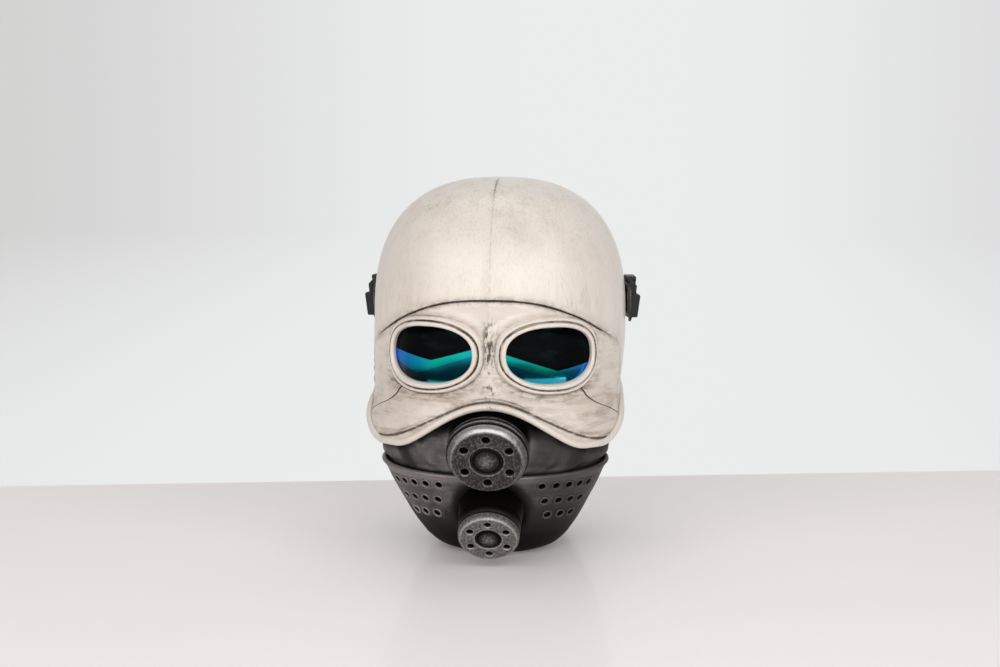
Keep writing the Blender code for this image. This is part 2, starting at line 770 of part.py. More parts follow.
def head_strap(parts, material):
    """Webbing from one buckle's slot round the back of the dome to the other's, standing off the shell."""
    spot, outward = buckle_frame(1)
    backward = Vector((0, 0, 1)).cross(outward)
    inner_end = spot + buckle_lift() * outward + (BUCKLE_LENGTH / 2 - 0.8 * BUCKLE_SLOT_DEPTH) * backward
    mouth = spot + buckle_lift() * outward + (BUCKLE_LENGTH / 2 + 0.004) * backward
    start = BUCKLE_AZIMUTH + radians(16)
    rest_lift = WALL_CLEARANCE + STRAP_THICKNESS / 2

    def line(share):
        """A point of the strap's middle line on the +X side: 0 in the buckle, 1 in the middle of the back."""
        if share < 0.1:
            return inner_end.lerp(mouth, share / 0.1)
        azimuth = start + (pi - start) * (share - 0.1) / 0.9
        surface = shell_point(azimuth, STRAP_LEVEL)
        away = unit_normal(shell_point, azimuth, STRAP_LEVEL)
        away.z = 0
        away.normalize()
        eased = smooth(start, start + STRAP_EASE, azimuth)
        return surface + (STRAP_LIFT * (1 - eased) + rest_lift) * away

    def place(u, v):
        share = 1 - abs(2 * u - 1)
        spot = line(share)
        if u < 0.5:
            spot.x = -spot.x
        spot.z = STRAP_LEVEL + (v - 0.5) * STRAP_WIDTH
        return spot

    mesh = lofted_mesh("head_strap", 48, 1, place)
    item = new_object("head_strap", mesh, material, parts)
    wall = item.modifiers.new("wall", "SOLIDIFY")
    wall.thickness = STRAP_THICKNESS
    wall.offset = 0
    return item


def stand_on_origin(parts):
    """Hangs every piece on one empty, and moves it so that the origin is under the middle of the helmet."""
    origin = bpy.data.objects.new("helmet_origin", None)
    parts.objects.link(origin)
    bpy.context.view_layer.update()
    graph = bpy.context.evaluated_depsgraph_get()
    places = []
    for item in parts.objects:
        if item.type == "MESH":
            shape = item.evaluated_get(graph)
            places += [shape.matrix_world @ vertex.co for vertex in shape.data.vertices]
    low = Vector(np.min(places, axis=0))
    high = Vector(np.max(places, axis=0))
    for item in bpy.data.objects:
        if item is not origin and item.parent is None:
            item.parent = origin
    origin.location = (-(low.x + high.x) / 2, -(low.y + high.y) / 2, -low.z)
    bpy.context.view_layer.update()
    print("size mm", [round(1000 * (b - a), 2) for a, b in zip(low, high, strict=True)])
    print("origin moved mm", [round(1000 * part, 2) for part in origin.location])


def main():
    clear_scene()
    parts, cutters = make_collections()
    materials = make_materials()
    ivory = materials["ivory_paint"]
    gunmetal = materials["gunmetal_paint"]
    metal = materials["filter_metal"]

    shell = helmet_shell(parts, cutters, ivory)
    for side, word in ((-1, "right"), (1, "left")):
        eyepiece_rim(side, "eyepiece_rim_" + word, parts, ivory)
        lens(side, "lens_" + word, parts, materials["mirror_lens"])
        buckle_base(side, "buckle_base_" + word, parts, materials["black_plastic"])
        strap_buckle(side, "strap_buckle_" + word, parts, cutters, materials["black_plastic"])
    head_strap(parts, materials["black_webbing"])

    face = muzzle(parts, gunmetal)
    chin = chin_guard(parts, gunmetal)
    nape_guard(parts, cutters, gunmetal)
    cut(chin, vent_cutters(cutters))

    upper_seat = muzzle_point(0.0, UPPER_SEAT_HEIGHT)
    upper_face = face_centre(upper_seat, UPPER_STAND_OFF, UPPER_TILT)
    upper_room = turned_cutter("upper_room", upper_profile(BORE_CLEARANCE), 0.01, cutters)
    upper = (
        upper_filter(parts, cutters, metal),
        filter_cap("upper_filter_cap", UPPER_CAP_RADIUS, parts, metal),
        upper_room,
    )
    for item in upper:
        aim(item, upper_face, UPPER_TILT)
    for neighbour in (face, chin, shell):
        cut(neighbour, upper_room)

    lower_seat = chin_point(0.0, LOWER_SEAT_HEIGHT)
    lower_face = face_centre(lower_seat, LOWER_STAND_OFF, LOWER_TILT)
    lower_room = turned_cutter("lower_room", lower_profile(BORE_CLEARANCE), 0.01, cutters)
    lower = (
        lower_filter(parts, cutters, metal),
        filter_cap("lower_filter_cap", LOWER_CAP_RADIUS, parts, metal),
        lower_room,
    )
    for item in lower:
        aim(item, lower_face, LOWER_TILT)
    for neighbour in (face, chin):
        cut(neighbour, lower_room)

    stand_on_origin(parts)


main()
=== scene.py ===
# %% [markdown]
# # A costume helmet of the gas-mask kind, dressed for its picture
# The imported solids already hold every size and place. This lesson dresses them: each solid gets a finer
# piece that follows the same level sections, with grooves, beads, vents, stitches and worn paint. The
# pieces are made in the solids' own frame: metres, +Z up, the face towards -Y. The ears are on a line a
# little behind the X axis.

# %% Load the solids
import json
from math import cos, pi, radians, sin, tan

import bmesh
import bpy
import numpy as np
from mathutils import Matrix, Vector

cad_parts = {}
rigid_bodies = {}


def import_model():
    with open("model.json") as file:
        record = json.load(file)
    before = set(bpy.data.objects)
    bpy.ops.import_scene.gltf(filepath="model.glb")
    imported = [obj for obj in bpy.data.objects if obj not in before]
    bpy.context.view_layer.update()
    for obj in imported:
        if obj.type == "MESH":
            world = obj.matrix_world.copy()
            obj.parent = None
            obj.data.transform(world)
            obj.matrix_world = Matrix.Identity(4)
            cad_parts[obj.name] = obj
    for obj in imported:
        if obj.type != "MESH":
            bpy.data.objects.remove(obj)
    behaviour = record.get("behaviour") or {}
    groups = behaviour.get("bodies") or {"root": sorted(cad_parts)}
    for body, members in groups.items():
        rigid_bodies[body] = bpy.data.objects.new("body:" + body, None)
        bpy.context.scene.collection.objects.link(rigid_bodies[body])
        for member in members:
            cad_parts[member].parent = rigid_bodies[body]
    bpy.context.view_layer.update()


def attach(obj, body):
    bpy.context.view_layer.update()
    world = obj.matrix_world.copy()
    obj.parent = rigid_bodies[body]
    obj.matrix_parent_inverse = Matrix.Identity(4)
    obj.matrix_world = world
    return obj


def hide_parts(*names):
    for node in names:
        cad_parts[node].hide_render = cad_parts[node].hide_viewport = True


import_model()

# %% [markdown]
# ## The level sections
# A moulded helmet is easiest to describe as a stack of level cuts, each a rounded oval. A table holds each
# cut as shares of the piece's sizes, and a smooth curve reads any height between its rows. The tables are
# the same as the solids', so a fine skin made from them follows the coarse solid closely.

# %% Sizes of the shell, muzzle, chin guard and nape guard
HELMET_HEIGHT = 0.297
DOME_HALF = 0.203 / 2
SPRING_HEIGHT = 0.187
BROW_REACH = 0.106
BACK_REACH = 0.125
SHELL_WALL = 0.003
EARS_PLACE = 0.00663
LIP_ARCH_HEIGHT = 0.126
CHEEK_HEIGHT = 0.095
CHEEK_START = radians(46)
CHEEK_END = radians(58)
REAR_START = radians(108)
REAR_RIM_HEIGHT = 0.131
LIP_FLARE = 0.002
LIP_FLARE_HEIGHT = 0.005
DOME_POWERS = (2.5, 2.35, 2.2, 2.2)
PLAN_POWER = 2.2

MUZZLE_HALF = 0.0895
MUZZLE_BOTTOM = 0.062
MUZZLE_TOP = 0.134
MUZZLE_REACH = 0.1005
MUZZLE_SWEEP = radians(99)
MUZZLE_SHOULDER = 0.007
MUZZLE_WALL = 0.0025
CHIN_HALF = 0.088
CHIN_REACH = 0.104
CHIN_CORNER = 0.050
CHIN_FRONT_TOP = 0.071
CHIN_CORNER_TOP = 0.078
CHIN_WALL = 0.003
CHIN_FLARE = 0.0015
CHIN_SWEEP = radians(112)
CHIN_PLAN_POWER = 2.15
NAPE_HALF = 0.094
NAPE_REACH = 0.111
NAPE_TOP = 0.142
NAPE_SWEEP = radians(75)
NAPE_TUCK = 0.030
NAPE_WALL = 0.003
FIT = 0.0006

# Rows hold height, half width, front reach, back reach and widest place, all as shares
SHELL_SECTIONS = (
    (0.45, 0.940, 1.035, 0.86, 0.46),
    (0.60, 0.985, 1.065, 0.90, 0.42),
    (0.70, 0.965, 1.045, 0.93, 0.28),
    (0.80, 0.985, 1.000, 0.975, 0.08),
    (0.90, 1.000, 0.985, 0.995, 0.00),
    (1.00, 1.000, 1.000, 1.000, -0.05),
)
CHIN_SECTIONS = (
    (0.00, 0.40, 0.47, 0.0, 0.36),
    (0.05, 0.50, 0.56, 0.0, 0.46),
    (0.15, 0.61, 0.66, 0.0, 0.56),
    (0.28, 0.695, 0.74, 0.0, 0.66),
    (0.59, 0.845, 0.87, 0.0, 0.84),
    (0.88, 0.965, 0.98, 0.0, 0.97),
    (1.00, 1.000, 1.005, 0.0, 1.00),
)
MUZZLE_SECTIONS = (
    (0.0, 0.96, 0.93, 0.0, 0.50),
    (0.3, 1.00, 0.96, 0.0, 0.47),
    (0.6, 1.02, 1.00, 0.0, 0.42),
    (1.0, 1.03, 1.05, 0.0, 0.32),
)
NAPE_SECTIONS = (
    (0.00, 0.50, 0.0, 0.64, -0.20),
    (0.16, 0.70, 0.0, 0.81, 0.00),
    (0.33, 0.84, 0.0, 0.91, 0.15),
    (0.60, 0.94, 0.0, 0.97, 0.26),
    (1.00, 1.00, 0.0, 1.00, 0.26),
)


# %% Read a table, and turn a section into points
def along(table, column, share):
    """One column of a table at any shares of the height, on a smooth curve through its rows."""
    rows = np.array(table)
    places, values = rows[:, 0], rows[:, column]
    slopes = np.gradient(values, places)
    share = np.clip(share, places[0], places[-1])
    low = np.clip(np.searchsorted(places, share) - 1, 0, len(places) - 2)
    span = places[low + 1] - places[low]
    t = (share - places[low]) / span
    ease = t * t * (3 - 2 * t)
    pull = t * (1 - t) ** 2 * slopes[low] - t * t * (1 - t) * slopes[low + 1]
    return values[low] * (1 - ease) + values[low + 1] * ease + pull * span


def smooth(low, high, value):
    """0 up to low and 1 from high on, eased between. It falls instead if low is above high."""
    t = np.clip((value - low) / (high - low), 0, 1)
    return t * t * (3 - 2 * t)


def hump(distance, width):
    """A soft bell: 1 at no distance, and gone beyond about two widths."""
    return np.exp(-((distance / width) ** 2))


def power(value, exponent):
    """A power of a number's size that keeps its sign."""
    return np.sign(value) * np.abs(value) ** exponent


def level_point(half_width, front, back, widest, azimuth, height, plan_power=PLAN_POWER):
    """Points of a level section. Azimuth 0 is the middle of the face, and a quarter turn is the ear."""
    x = half_width * power(np.sin(azimuth), 2 / plan_power)
    reach = np.where(np.cos(azimuth) >= 0, front - widest, back + widest)
    ahead = widest + reach * power(np.cos(azimuth), 2 / plan_power)
    x, ahead, height = np.broadcast_arrays(x, ahead, height)
    return np.stack([x, EARS_PLACE - ahead, height], axis=-1)


def shell_sizes(height):
    """Half width, front reach, back reach and widest place of the shell at any heights."""
    share = height / SPRING_HEIGHT
    scales = (DOME_HALF, BROW_REACH, BACK_REACH, BROW_REACH)
    rise = np.clip((height - SPRING_HEIGHT) / (HELMET_HEIGHT - SPRING_HEIGHT), 0, 1)
    sizes = []
    for column, (scale, dome_power) in enumerate(zip(scales, DOME_POWERS), start=1):
        closing = (1 - rise**dome_power) ** (1 / dome_power)
        sizes.append(along(SHELL_SECTIONS, column, share) * scale * closing)
    return sizes


def rim_height(azimuth):
    """Height of the shell's lower edge: an arch over the muzzle, low cheeks and a level rear rim."""
    turn = np.abs(azimuth)
    front = LIP_ARCH_HEIGHT + (CHEEK_HEIGHT - LIP_ARCH_HEIGHT) * smooth(0, CHEEK_START, turn)
    rear = CHEEK_HEIGHT + (REAR_RIM_HEIGHT - CHEEK_HEIGHT) * smooth(CHEEK_END, REAR_START, turn)
    return np.where(turn < CHEEK_START, front, rear)


def shell_point(azimuth, height, inset=0.0):
    """Points of the shell, or of a skin inset from it, flared at the lip."""
    half_width, front, back, widest = shell_sizes(height)
    grow = LIP_FLARE * hump(height - rim_height(azimuth), LIP_FLARE_HEIGHT) - inset
    return level_point(half_width + grow, front + grow, back + grow, widest, azimuth, height)


def face_depth(x, height):
    """How far ahead of the ears the face lies, seen from the front."""
    half_width, front, _, widest = shell_sizes(height)
    share = np.clip(np.abs(x) / half_width, 0, 1)
    return widest + (front - widest) * (1 - share**PLAN_POWER) ** (1 / PLAN_POWER)


def chin_top(azimuth):
    """Height of the chin guard's upper edge."""
    return CHIN_FRONT_TOP + (CHIN_CORNER_TOP - CHIN_FRONT_TOP) * (1 - np.cos(azimuth))


def chin_point(azimuth, height, inset=0.0):
    """Points of the chin guard, flared at its upper edge."""
    share = height / CHIN_CORNER_TOP
    grow = CHIN_FLARE * hump(height - chin_top(azimuth), LIP_FLARE_HEIGHT) - inset
    half_width = along(CHIN_SECTIONS, 1, share) * CHIN_HALF + grow
    front = along(CHIN_SECTIONS, 2, share) * CHIN_REACH + grow
    widest = along(CHIN_SECTIONS, 4, share) * CHIN_CORNER
    return level_point(half_width, front, 0.0, widest, azimuth, height, CHIN_PLAN_POWER)


def mix(start, end, share):
    """Points a share of the way from some to others."""
    return start + (end - start) * np.asarray(share)[..., None]


def muzzle_point(azimuth, height):
    """The muzzle rises inside the chin guard, swells over its rim and ends inside the shell."""
    share = (height - MUZZLE_BOTTOM) / (MUZZLE_TOP - MUZZLE_BOTTOM)
    half_width = along(MUZZLE_SECTIONS, 1, share) * MUZZLE_HALF
    front = along(MUZZLE_SECTIONS, 2, share) * MUZZLE_REACH
    widest = along(MUZZLE_SECTIONS, 4, share) * MUZZLE_REACH
    own = level_point(half_width, front, 0.0, widest, azimuth, height)
    in_chin = chin_point(azimuth, height, 1.2 * CHIN_WALL + FIT + CHIN_FLARE)
    in_shell = shell_point(azimuth, height, SHELL_WALL + FIT)
    out_of_chin = smooth(0, MUZZLE_SHOULDER, height - chin_top(azimuth) - FIT)
    return mix(mix(in_chin, own, out_of_chin), in_shell, smooth(0.55, 1.0, share))


def nape_point(azimuth, height):
    """The nape guard rises from its level foot and ends inside the shell."""
    share = height / NAPE_TOP
    half_width = along(NAPE_SECTIONS, 1, share) * NAPE_HALF
    back = along(NAPE_SECTIONS, 3, share) * NAPE_REACH
    widest = along(NAPE_SECTIONS, 4, share) * NAPE_REACH
    own = level_point(half_width, 0.0, back, widest, azimuth, height)
    in_shell = shell_point(azimuth, height, SHELL_WALL + FIT)
    return mix(own, in_shell, smooth(REAR_RIM_HEIGHT - NAPE_TUCK, REAR_RIM_HEIGHT, height))


def outward(surface, azimuth, height):
    """The way out of a surface at some azimuths and heights."""
    step = 0.0008
    across = surface(azimuth + step, height) - surface(azimuth - step, height)
    upward = surface(azimuth, height + step) - surface(azimuth, height - step)
    way = np.cross(across, upward)
    return way / np.maximum(np.linalg.norm(way, axis=-1, keepdims=True), 1e-12)


def azimuth_of(spots):
    """Azimuths of points, from the middle of the face."""
    return np.arctan2(spots[:, 0], EARS_PLACE - spots[:, 1])


print("nose of the shell at", np.round(1000 * shell_point(0.0, 0.15), 1), "mm")

# %% [markdown]
# ## Skins, sweeps and turned bodies
# Three kinds of mesh make most of the helmet. A skin is a grid of points with quads between them, which may
# have openings punched in it. A sweep carries a small outline along a path, for beads. A turned body spins
# a profile about its axis, as a lathe does. Grids keep the faces even, so reflections run smoothly over
# them.


# %% Make a skin from a grid of points
HOLE_DEPTH = 0.006
WELD = 1e-6


def unit(vector):
    """A way of length 1."""
    vector = np.asarray(vector, float)
    return vector / np.linalg.norm(vector)


def add_object(name, data):
    """Puts a mesh, light or camera into the scene."""
    made = bpy.data.objects.new(name, data)
    bpy.context.scene.collection.objects.link(made)
    return made


def punch(points, faces, holes):
    """Leaves out the faces inside round holes, and draws the edge that is left onto each circle."""
    keep = np.ones(len(faces), bool)
    middles = points[faces].mean(axis=1)
    for centre, axis, radius in holes:
        across = middles - centre
        depth = across @ axis
        radial = np.linalg.norm(across - depth[:, None] * axis, axis=1)
        gone = (radial < radius) & (np.abs(depth) < HOLE_DEPTH)
        rim = np.intersect1d(faces[gone], faces[keep & ~gone])
        keep &= ~gone
        offset = points[rim] - centre
        depth = (offset @ axis)[:, None] * axis
        flat = offset - depth
        points[rim] = centre + depth + flat * radius / np.linalg.norm(flat, axis=1, keepdims=True)
    return faces[keep]


def skin(name, points, around=False, holes=(), opening=None):
    """An object made of quads over rows and columns of points. around joins the last column to the first."""
    rows, columns = points.shape[:2]
    index = np.arange(rows * columns).reshape(rows, columns)
    after = np.roll(index, -1, axis=1) if around else index[:, 1:]
    before = index if around else index[:, :-1]
    faces = np.stack([before[:-1], after[:-1], after[1:], before[1:]], axis=-1).reshape(-1, 4)
    points = points.reshape(-1, 3).copy()
    faces = punch(points, faces, holes)
    if opening is not None:
        faces = opening(points, faces)
    return solid_from(name, points, faces)


def solid_from(name, points, faces):
    """A smooth-shaded object from points and faces, with doubled points welded and loose ones left out."""
    mesh = bpy.data.meshes.new(name)
    mesh.from_pydata(points.tolist(), [], [tuple(face) for face in faces])
    form = bmesh.new()
    form.from_mesh(mesh)
    bmesh.ops.remove_doubles(form, verts=form.verts, dist=WELD)
    loose = [vertex for vertex in form.verts if not vertex.link_faces]
    bmesh.ops.delete(form, geom=loose, context="VERTS")
    form.to_mesh(mesh)
    form.free()
    mesh.shade_smooth()
    return add_object(name, mesh)


def turn_outwards(piece, fill_ends=False):
    """Makes the faces of a closed piece look outwards, with its open ends filled first where it has some."""
    form = bmesh.new()
    form.from_mesh(piece.data)
    if fill_ends:
        bmesh.ops.holes_fill(form, edges=form.edges, sides=0)
    bmesh.ops.recalc_face_normals(form, faces=form.faces)
    form.to_mesh(piece.data)
    form.free()
    return piece


def places(piece):
    """Where a piece's vertices are."""
    flat = np.empty(3 * len(piece.data.vertices))
    piece.data.vertices.foreach_get("co", flat)
    return flat.reshape(-1, 3)


def mark(piece, **marks):
    """Writes a number on each vertex under each name, for a finish to read."""
    for name, values in marks.items():
        layer = piece.data.attributes.new(name, "FLOAT", "POINT")
        numbers = np.broadcast_to(values, len(piece.data.vertices))
        layer.data.foreach_set("value", numbers.astype(np.float32))


def add_wall(piece, thickness, inside=0):
    """Gives a skin its wall, inwards, and the inside its own finish."""
    wall = piece.modifiers.new("wall", "SOLIDIFY")
    wall.thickness = thickness
    wall.offset = -1
    wall.use_even_offset = True
    wall.material_offset = inside
    wall.material_offset_rim = 0


def settle(piece):
    """Applies a piece's modifiers, so that a plain mesh is left."""
    graph = bpy.context.evaluated_depsgraph_get()
    mesh = bpy.data.meshes.new_from_object(piece.evaluated_get(graph), depsgraph=graph)
    piece.modifiers.clear()
    piece.data = mesh
    return piece


# %% Sweep an outline along a path
def sweep(name, path, aside, away, outline, around=False):
    """Carries an outline of (aside, away) pairs along a path whose two directions are given at each point."""
    outline = np.array(outline)
    grid = path[None] + outline[:, 0, None, None] * aside[None] + outline[:, 1, None, None] * away[None]
    grid = np.concatenate([grid, grid[:1]])
    return turn_outwards(skin(name, grid, around=around), fill_ends=not around)


def ring_outline(wide, high, steps=14):
    """An oval outline, by its two half sizes."""
    turn = np.linspace(0, 2 * pi, steps, endpoint=False)
    return np.stack([wide * np.cos(turn), high * np.sin(turn)], axis=-1)


# %% Spin a profile, and put the result on its axis
def turned_grid(profile, steps, matrix):
    """Points of a profile of (radius, height) pairs spun about Z, then carried by a matrix."""
    profile = np.array(profile)
    turn = np.linspace(0, 2 * pi, steps, endpoint=False)
    x = profile[:, 0, None] * np.cos(turn)
    y = profile[:, 0, None] * np.sin(turn)
    z = np.broadcast_to(profile[:, 1, None], x.shape)
    grid = np.stack([x, y, z], axis=-1)
    place = np.array(matrix)
    return grid @ place[:3, :3].T + place[:3, 3]


def fine_profile(corners, step=0.0006, rounding=0.0004):
    """The corners of a profile with points added between them and each corner eased by a small chamfer."""
    corners = [np.array(corner, float) for corner in corners]
    eased = [corners[0]]
    for before, corner, after in zip(corners, corners[1:], corners[2:]):
        cut = min(rounding, 0.4 * np.linalg.norm(before - corner), 0.4 * np.linalg.norm(after - corner))
        eased.append(corner + unit(before - corner) * cut)
        eased.append(corner + unit(after - corner) * cut)
    eased.append(corners[-1])
    fine = []
    for start, end in zip(eased, eased[1:]):
        count = max(1, round(np.linalg.norm(end - start) / step))
        fine += [start + (end - start) * index / count for index in range(count)]
    return fine + [eased[-1]]


# %% [markdown]
# ## Shader maths written as plain sums
# Worn paint is mostly arithmetic: a streak mask times a height mask, plus the grime in a groove. Nodes for
# such sums are slow to read, so a small class wraps a socket. Adding or multiplying two of them adds the
# Math node.


# %% Add one node
def add_node(tree, kind, settings=None, sockets=None):
    """A node with its settings made, and its inputs linked to sockets or given values."""
    made = tree.nodes.new(kind)
    for key, value in (settings or {}).items():
        setattr(made, key, value)
    for key, value in (sockets or {}).items():
        if isinstance(value, bpy.types.NodeSocket):
            tree.links.new(value, made.inputs[key])
        else:
            made.inputs[key].default_value = value
    return made


# %% A finish and the values in it
class Wire:
    """A number or vector on its way between nodes."""

    def __init__(self, finish, socket):
        self.finish = finish
        self.socket = socket

    def __add__(self, other):
        return self.finish.maths("ADD", self, other)

    def __sub__(self, other):
        return self.finish.maths("SUBTRACT", self, other)

    def __rsub__(self, other):
        return self.finish.maths("SUBTRACT", other, self)

    def __mul__(self, other):
        return self.finish.maths("MULTIPLY", self, other)

    def __abs__(self):
        return self.finish.maths("ABSOLUTE", self)

    __radd__ = __add__
    __rmul__ = __mul__


class Finish:
    """One material, whose nodes are added by name."""

    def __init__(self, name, **fixed):
        self.material = bpy.data.materials.new(name)
        self.material.use_nodes = True
        self.tree = self.material.node_tree
        self.shader = self.tree.nodes["Principled BSDF"]
        for socket, value in fixed.items():
            self.shader.inputs[socket.replace("_", " ")].default_value = value
        self.place = self.node("ShaderNodeTexCoord", output="Object")

    def node(self, kind, settings=None, sockets=None, output=0):
        plain = {key: getattr(value, "socket", value) for key, value in (sockets or {}).items()}
        return Wire(self, add_node(self.tree, kind, settings, plain).outputs[output])

    def maths(self, operation, *values):
        return self.node("ShaderNodeMath", {"operation": operation}, dict(enumerate(values)))

    def clamp(self, value):
        return self.node("ShaderNodeClamp", None, {"Value": value})

    def larger(self, first, *others):
        """The largest of some values."""
        for other in others:
            first = self.maths("MAXIMUM", first, other)
        return first

    def step(self, low, high, value):
        """0 below low and 1 above high, with a soft edge. It falls instead if low is above high."""
        limits = {"Value": value, "From Min": low, "From Max": high}
        return self.node("ShaderNodeMapRange", {"interpolation_type": "SMOOTHSTEP"}, limits)

    def axis(self, name):
        """One coordinate in the helmet's own frame."""
        return self.node("ShaderNodeSeparateXYZ", None, {0: self.place}, name)

    def mark(self, name):
        """The numbers that are kept on the mesh under a name."""
        return self.node("ShaderNodeAttribute", {"attribute_name": name}, None, "Fac")

    def noise(self, scale, detail=4.0, roughness=0.55, distortion=0.0):
        """Noise between 0 and 1, whose scale is one number or three."""
        place = self.place
        if isinstance(scale, tuple):
            place = self.node("ShaderNodeVectorMath", {"operation": "MULTIPLY"}, {0: place, 1: scale})
            scale = 1.0
        sockets = {"Vector": place, "Scale": scale, "Detail": detail, "Roughness": roughness}
        sockets["Distortion"] = distortion
        return self.node("ShaderNodeTexNoise", None, sockets, "Fac")

    def blend(self, share, low, high):
        """A colour between two colours."""
        sockets = {0: share}
        for key, colour in ((6, low), (7, high)):
            sockets[key] = colour if isinstance(colour, Wire) else (*colour, 1.0)
        return self.node("ShaderNodeMix", {"data_type": "RGBA"}, sockets, 2)

    def ramp(self, share, stops):
        """A colour from a row of stops, each a place and a colour."""
        colour = self.node("ShaderNodeValToRGB", None, {0: share})
        elements = colour.socket.node.color_ramp.elements
        while len(elements) < len(stops):
            elements.new(1.0)
        for element, (place, tint) in zip(elements, stops):
            element.position = place
            element.color = (*tint, 1.0)
        return colour

    def bump(self, height, distance):
        return self.node("ShaderNodeBump", None, {"Height": height, "Distance": distance})

    def give(self, **links):
        """Links values to the shader's own sockets."""
        for socket, value in links.items():
            self.tree.links.new(value.socket, self.shader.inputs[socket.replace("_", " ")])


# %% [markdown]
# ## Ivory paint with dry-brushed wear
# The shell in the photo is cream. A brown wash sits in its grooves and is gone from the crests, and fine
# upright brush strokes darken the forehead. Noise stretched upwards makes the strokes, and marks on the
# mesh say how far each point is from the brow line, the cheek line, the lip and the eyepieces.


# %% Ivory paint
def ivory_paint():
    """Cream paint under a thin clear coat: a darkened base, then brown washes with painted shadow under the
    eyepieces, then black lines.
    """
    paint = Finish("ivory_paint", Coat_Weight=0.30, Coat_Roughness=0.14, Specular_IOR_Level=0.45)
    x, height = paint.axis("X"), paint.axis("Z")
    brow, eye = paint.mark("brow"), paint.mark("eye")
    edge, panel = paint.mark("edge"), paint.mark("panel")
    trough = paint.mark("trough")
    ahead = paint.step(0.03, -0.05, paint.axis("Y"))
    in_front = paint.step(-0.024, -0.036, paint.axis("Y"))
    tapered = 0.0010 * paint.step(-0.070, -0.028, paint.axis("Y"))

    # Noises: the first three are stretched upwards, and streaked is squeezed into level streaks
    fine = paint.noise((420.0, 420.0, 16.0), 6.0, 0.7)
    hair = paint.noise((820.0, 820.0, 26.0), 5.0, 0.7)
    broad = paint.noise((70.0, 70.0, 6.0), 4.0, 0.6)
    cloud = paint.noise(26.0, 5.0, 0.6)
    grain = paint.noise(900.0, 3.0, 0.6)
    speck = paint.noise(310.0, 5.0, 0.7)
    wander = paint.noise(60.0, 4.0, 0.6) - 0.5
    smudge = paint.noise((150.0, 150.0, 190.0), 5.0, 0.62, 0.9)
    streaked = paint.noise((90.0, 90.0, 330.0), 5.0, 0.65, 0.7)
    gritty = paint.noise(420.0, 5.0, 0.72)

    # Brush strokes on the forehead, and an uneven base below the brow
    forehead = paint.step(-0.002, 0.012, brow)
    near_brow = paint.step(0.034, 0.0, abs(brow)) * forehead
    near_crown = paint.step(0.235, 0.292, height)
    patches = paint.step(0.50, 0.64, paint.noise(34.0, 3.0, 0.5))
    strokes = paint.step(0.50, 0.74, fine) * paint.step(0.40, 0.66, broad)
    strokes = strokes * (0.16 + 0.80 * near_brow * patches + 0.42 * near_crown) * (0.35 + 0.65 * forehead)
    hairs = paint.step(0.48, 0.72, hair) * (0.16 + 0.60 * near_brow * patches + 0.22 * near_crown) * forehead
    faint = paint.step(0.42, 0.80, broad) * (0.10 + 0.26 * near_crown + 0.22 * near_brow)
    below = paint.step(0.150, 0.128, height) * ahead
    smear = paint.step(0.46, 0.72, paint.noise((26.0, 26.0, 120.0), 5.0, 0.6, 0.8)) * (1 - forehead)
    sweep = paint.step(0.50, 0.68, streaked) * (1 - forehead) * paint.step(0.40, 0.62, cloud) * 0.30
    # An uneven darker tone, evenly darker below the brow and more so low on the face.
    darkening = faint + smear * (0.34 + 0.30 * below) + paint.step(0.50, 0.74, cloud) * 0.20 + 0.16 * below
    darkening = darkening + 0.17 * (1 - forehead)

    # Lines with broken edges, and the soft washes beside them
    ragged = 1 + 0.9 * wander
    torn = 1 + 1.5 * (gritty - 0.5) + 1.2 * wander
    brow_line = paint.step(0.00108, 0.00040, abs(brow) * torn + tapered) * in_front
    brow_wash = paint.step(0.0065, 0.0, abs(brow) * ragged) * 0.42 * paint.step(0.38, 0.62, smudge) * in_front
    crown_seam = 0.22 + 0.78 * paint.step(0.284, 0.292, height)
    seam_reach = paint.step(0.206, 0.222, height) * ahead * crown_seam
    seam = paint.step(0.00075, 0.0002, abs(x + 0.0012 * wander)) * seam_reach * paint.step(0.34, 0.50, speck)
    seam_wash = paint.step(0.004, 0.0, abs(x) * ragged) * ahead * paint.step(0.45, 0.62, speck) * crown_seam
    panel_line = paint.step(0.00075, 0.00030, abs(panel))
    lip_line = paint.step(0.00145, 0.0004, abs(edge - 0.0055) * torn) * paint.step(0.24, 0.50, streaked)
    second = paint.step(0.00090, 0.0002, abs(edge - 0.0082) * torn) * paint.step(0.46, 0.62, cloud)
    lip_line = paint.larger(lip_line, second * 0.75)
    lip_wash = paint.step(0.0066, 0.0, abs(edge - 0.0068)) * 0.52 * paint.step(0.38, 0.66, streaked)
    eye_line = paint.step(0.0013, 0.0004, abs(eye) * torn) * paint.step(0.42, 0.56, cloud)
    # Painted shadow with streaky grime under the eyepieces.
    shadow_and_grime_under_eyes = paint.step(0.156, 0.142, height) * paint.step(0.013, 0.001, eye)
    eye_wash_and_shadow = paint.step(0.008, 0.0, eye) * paint.step(0.40, 0.72, streaked) * 0.42
    eye_wash_and_shadow = eye_wash_and_shadow + shadow_and_grime_under_eyes * (0.16 + 0.55 * paint.step(0.36, 0.70, streaked))
    nose = paint.step(0.0085, 0.0010, abs(x) * ragged) * paint.step(0.197, 0.186, height) * ahead
    chipped = paint.step(0.45, 0.57, paint.noise((360.0, 360.0, 130.0), 5.0))
    nose_high = nose * paint.step(0.153, 0.164, height) * chipped
    nose_low = nose * paint.step(0.54, 0.64, paint.noise((260.0, 260.0, 200.0), 5.0, 0.65)) * 0.75
    groove = paint.step(0.16, 0.80, trough * torn)
    packed = paint.step(0.52, 0.92, trough * torn) * paint.step(0.38, 0.52, cloud + 0.3 * (streaked - 0.5))

    brown = paint.larger(strokes, hairs, sweep, brow_wash, seam_wash * 0.6, lip_wash, eye_wash_and_shadow, groove * 0.72)
    black = paint.larger(brow_line, seam * 0.6, panel_line, lip_line * 0.88, eye_line * 0.45)
    black = paint.larger(black, nose_high * 0.9, nose_low, packed * 0.92)

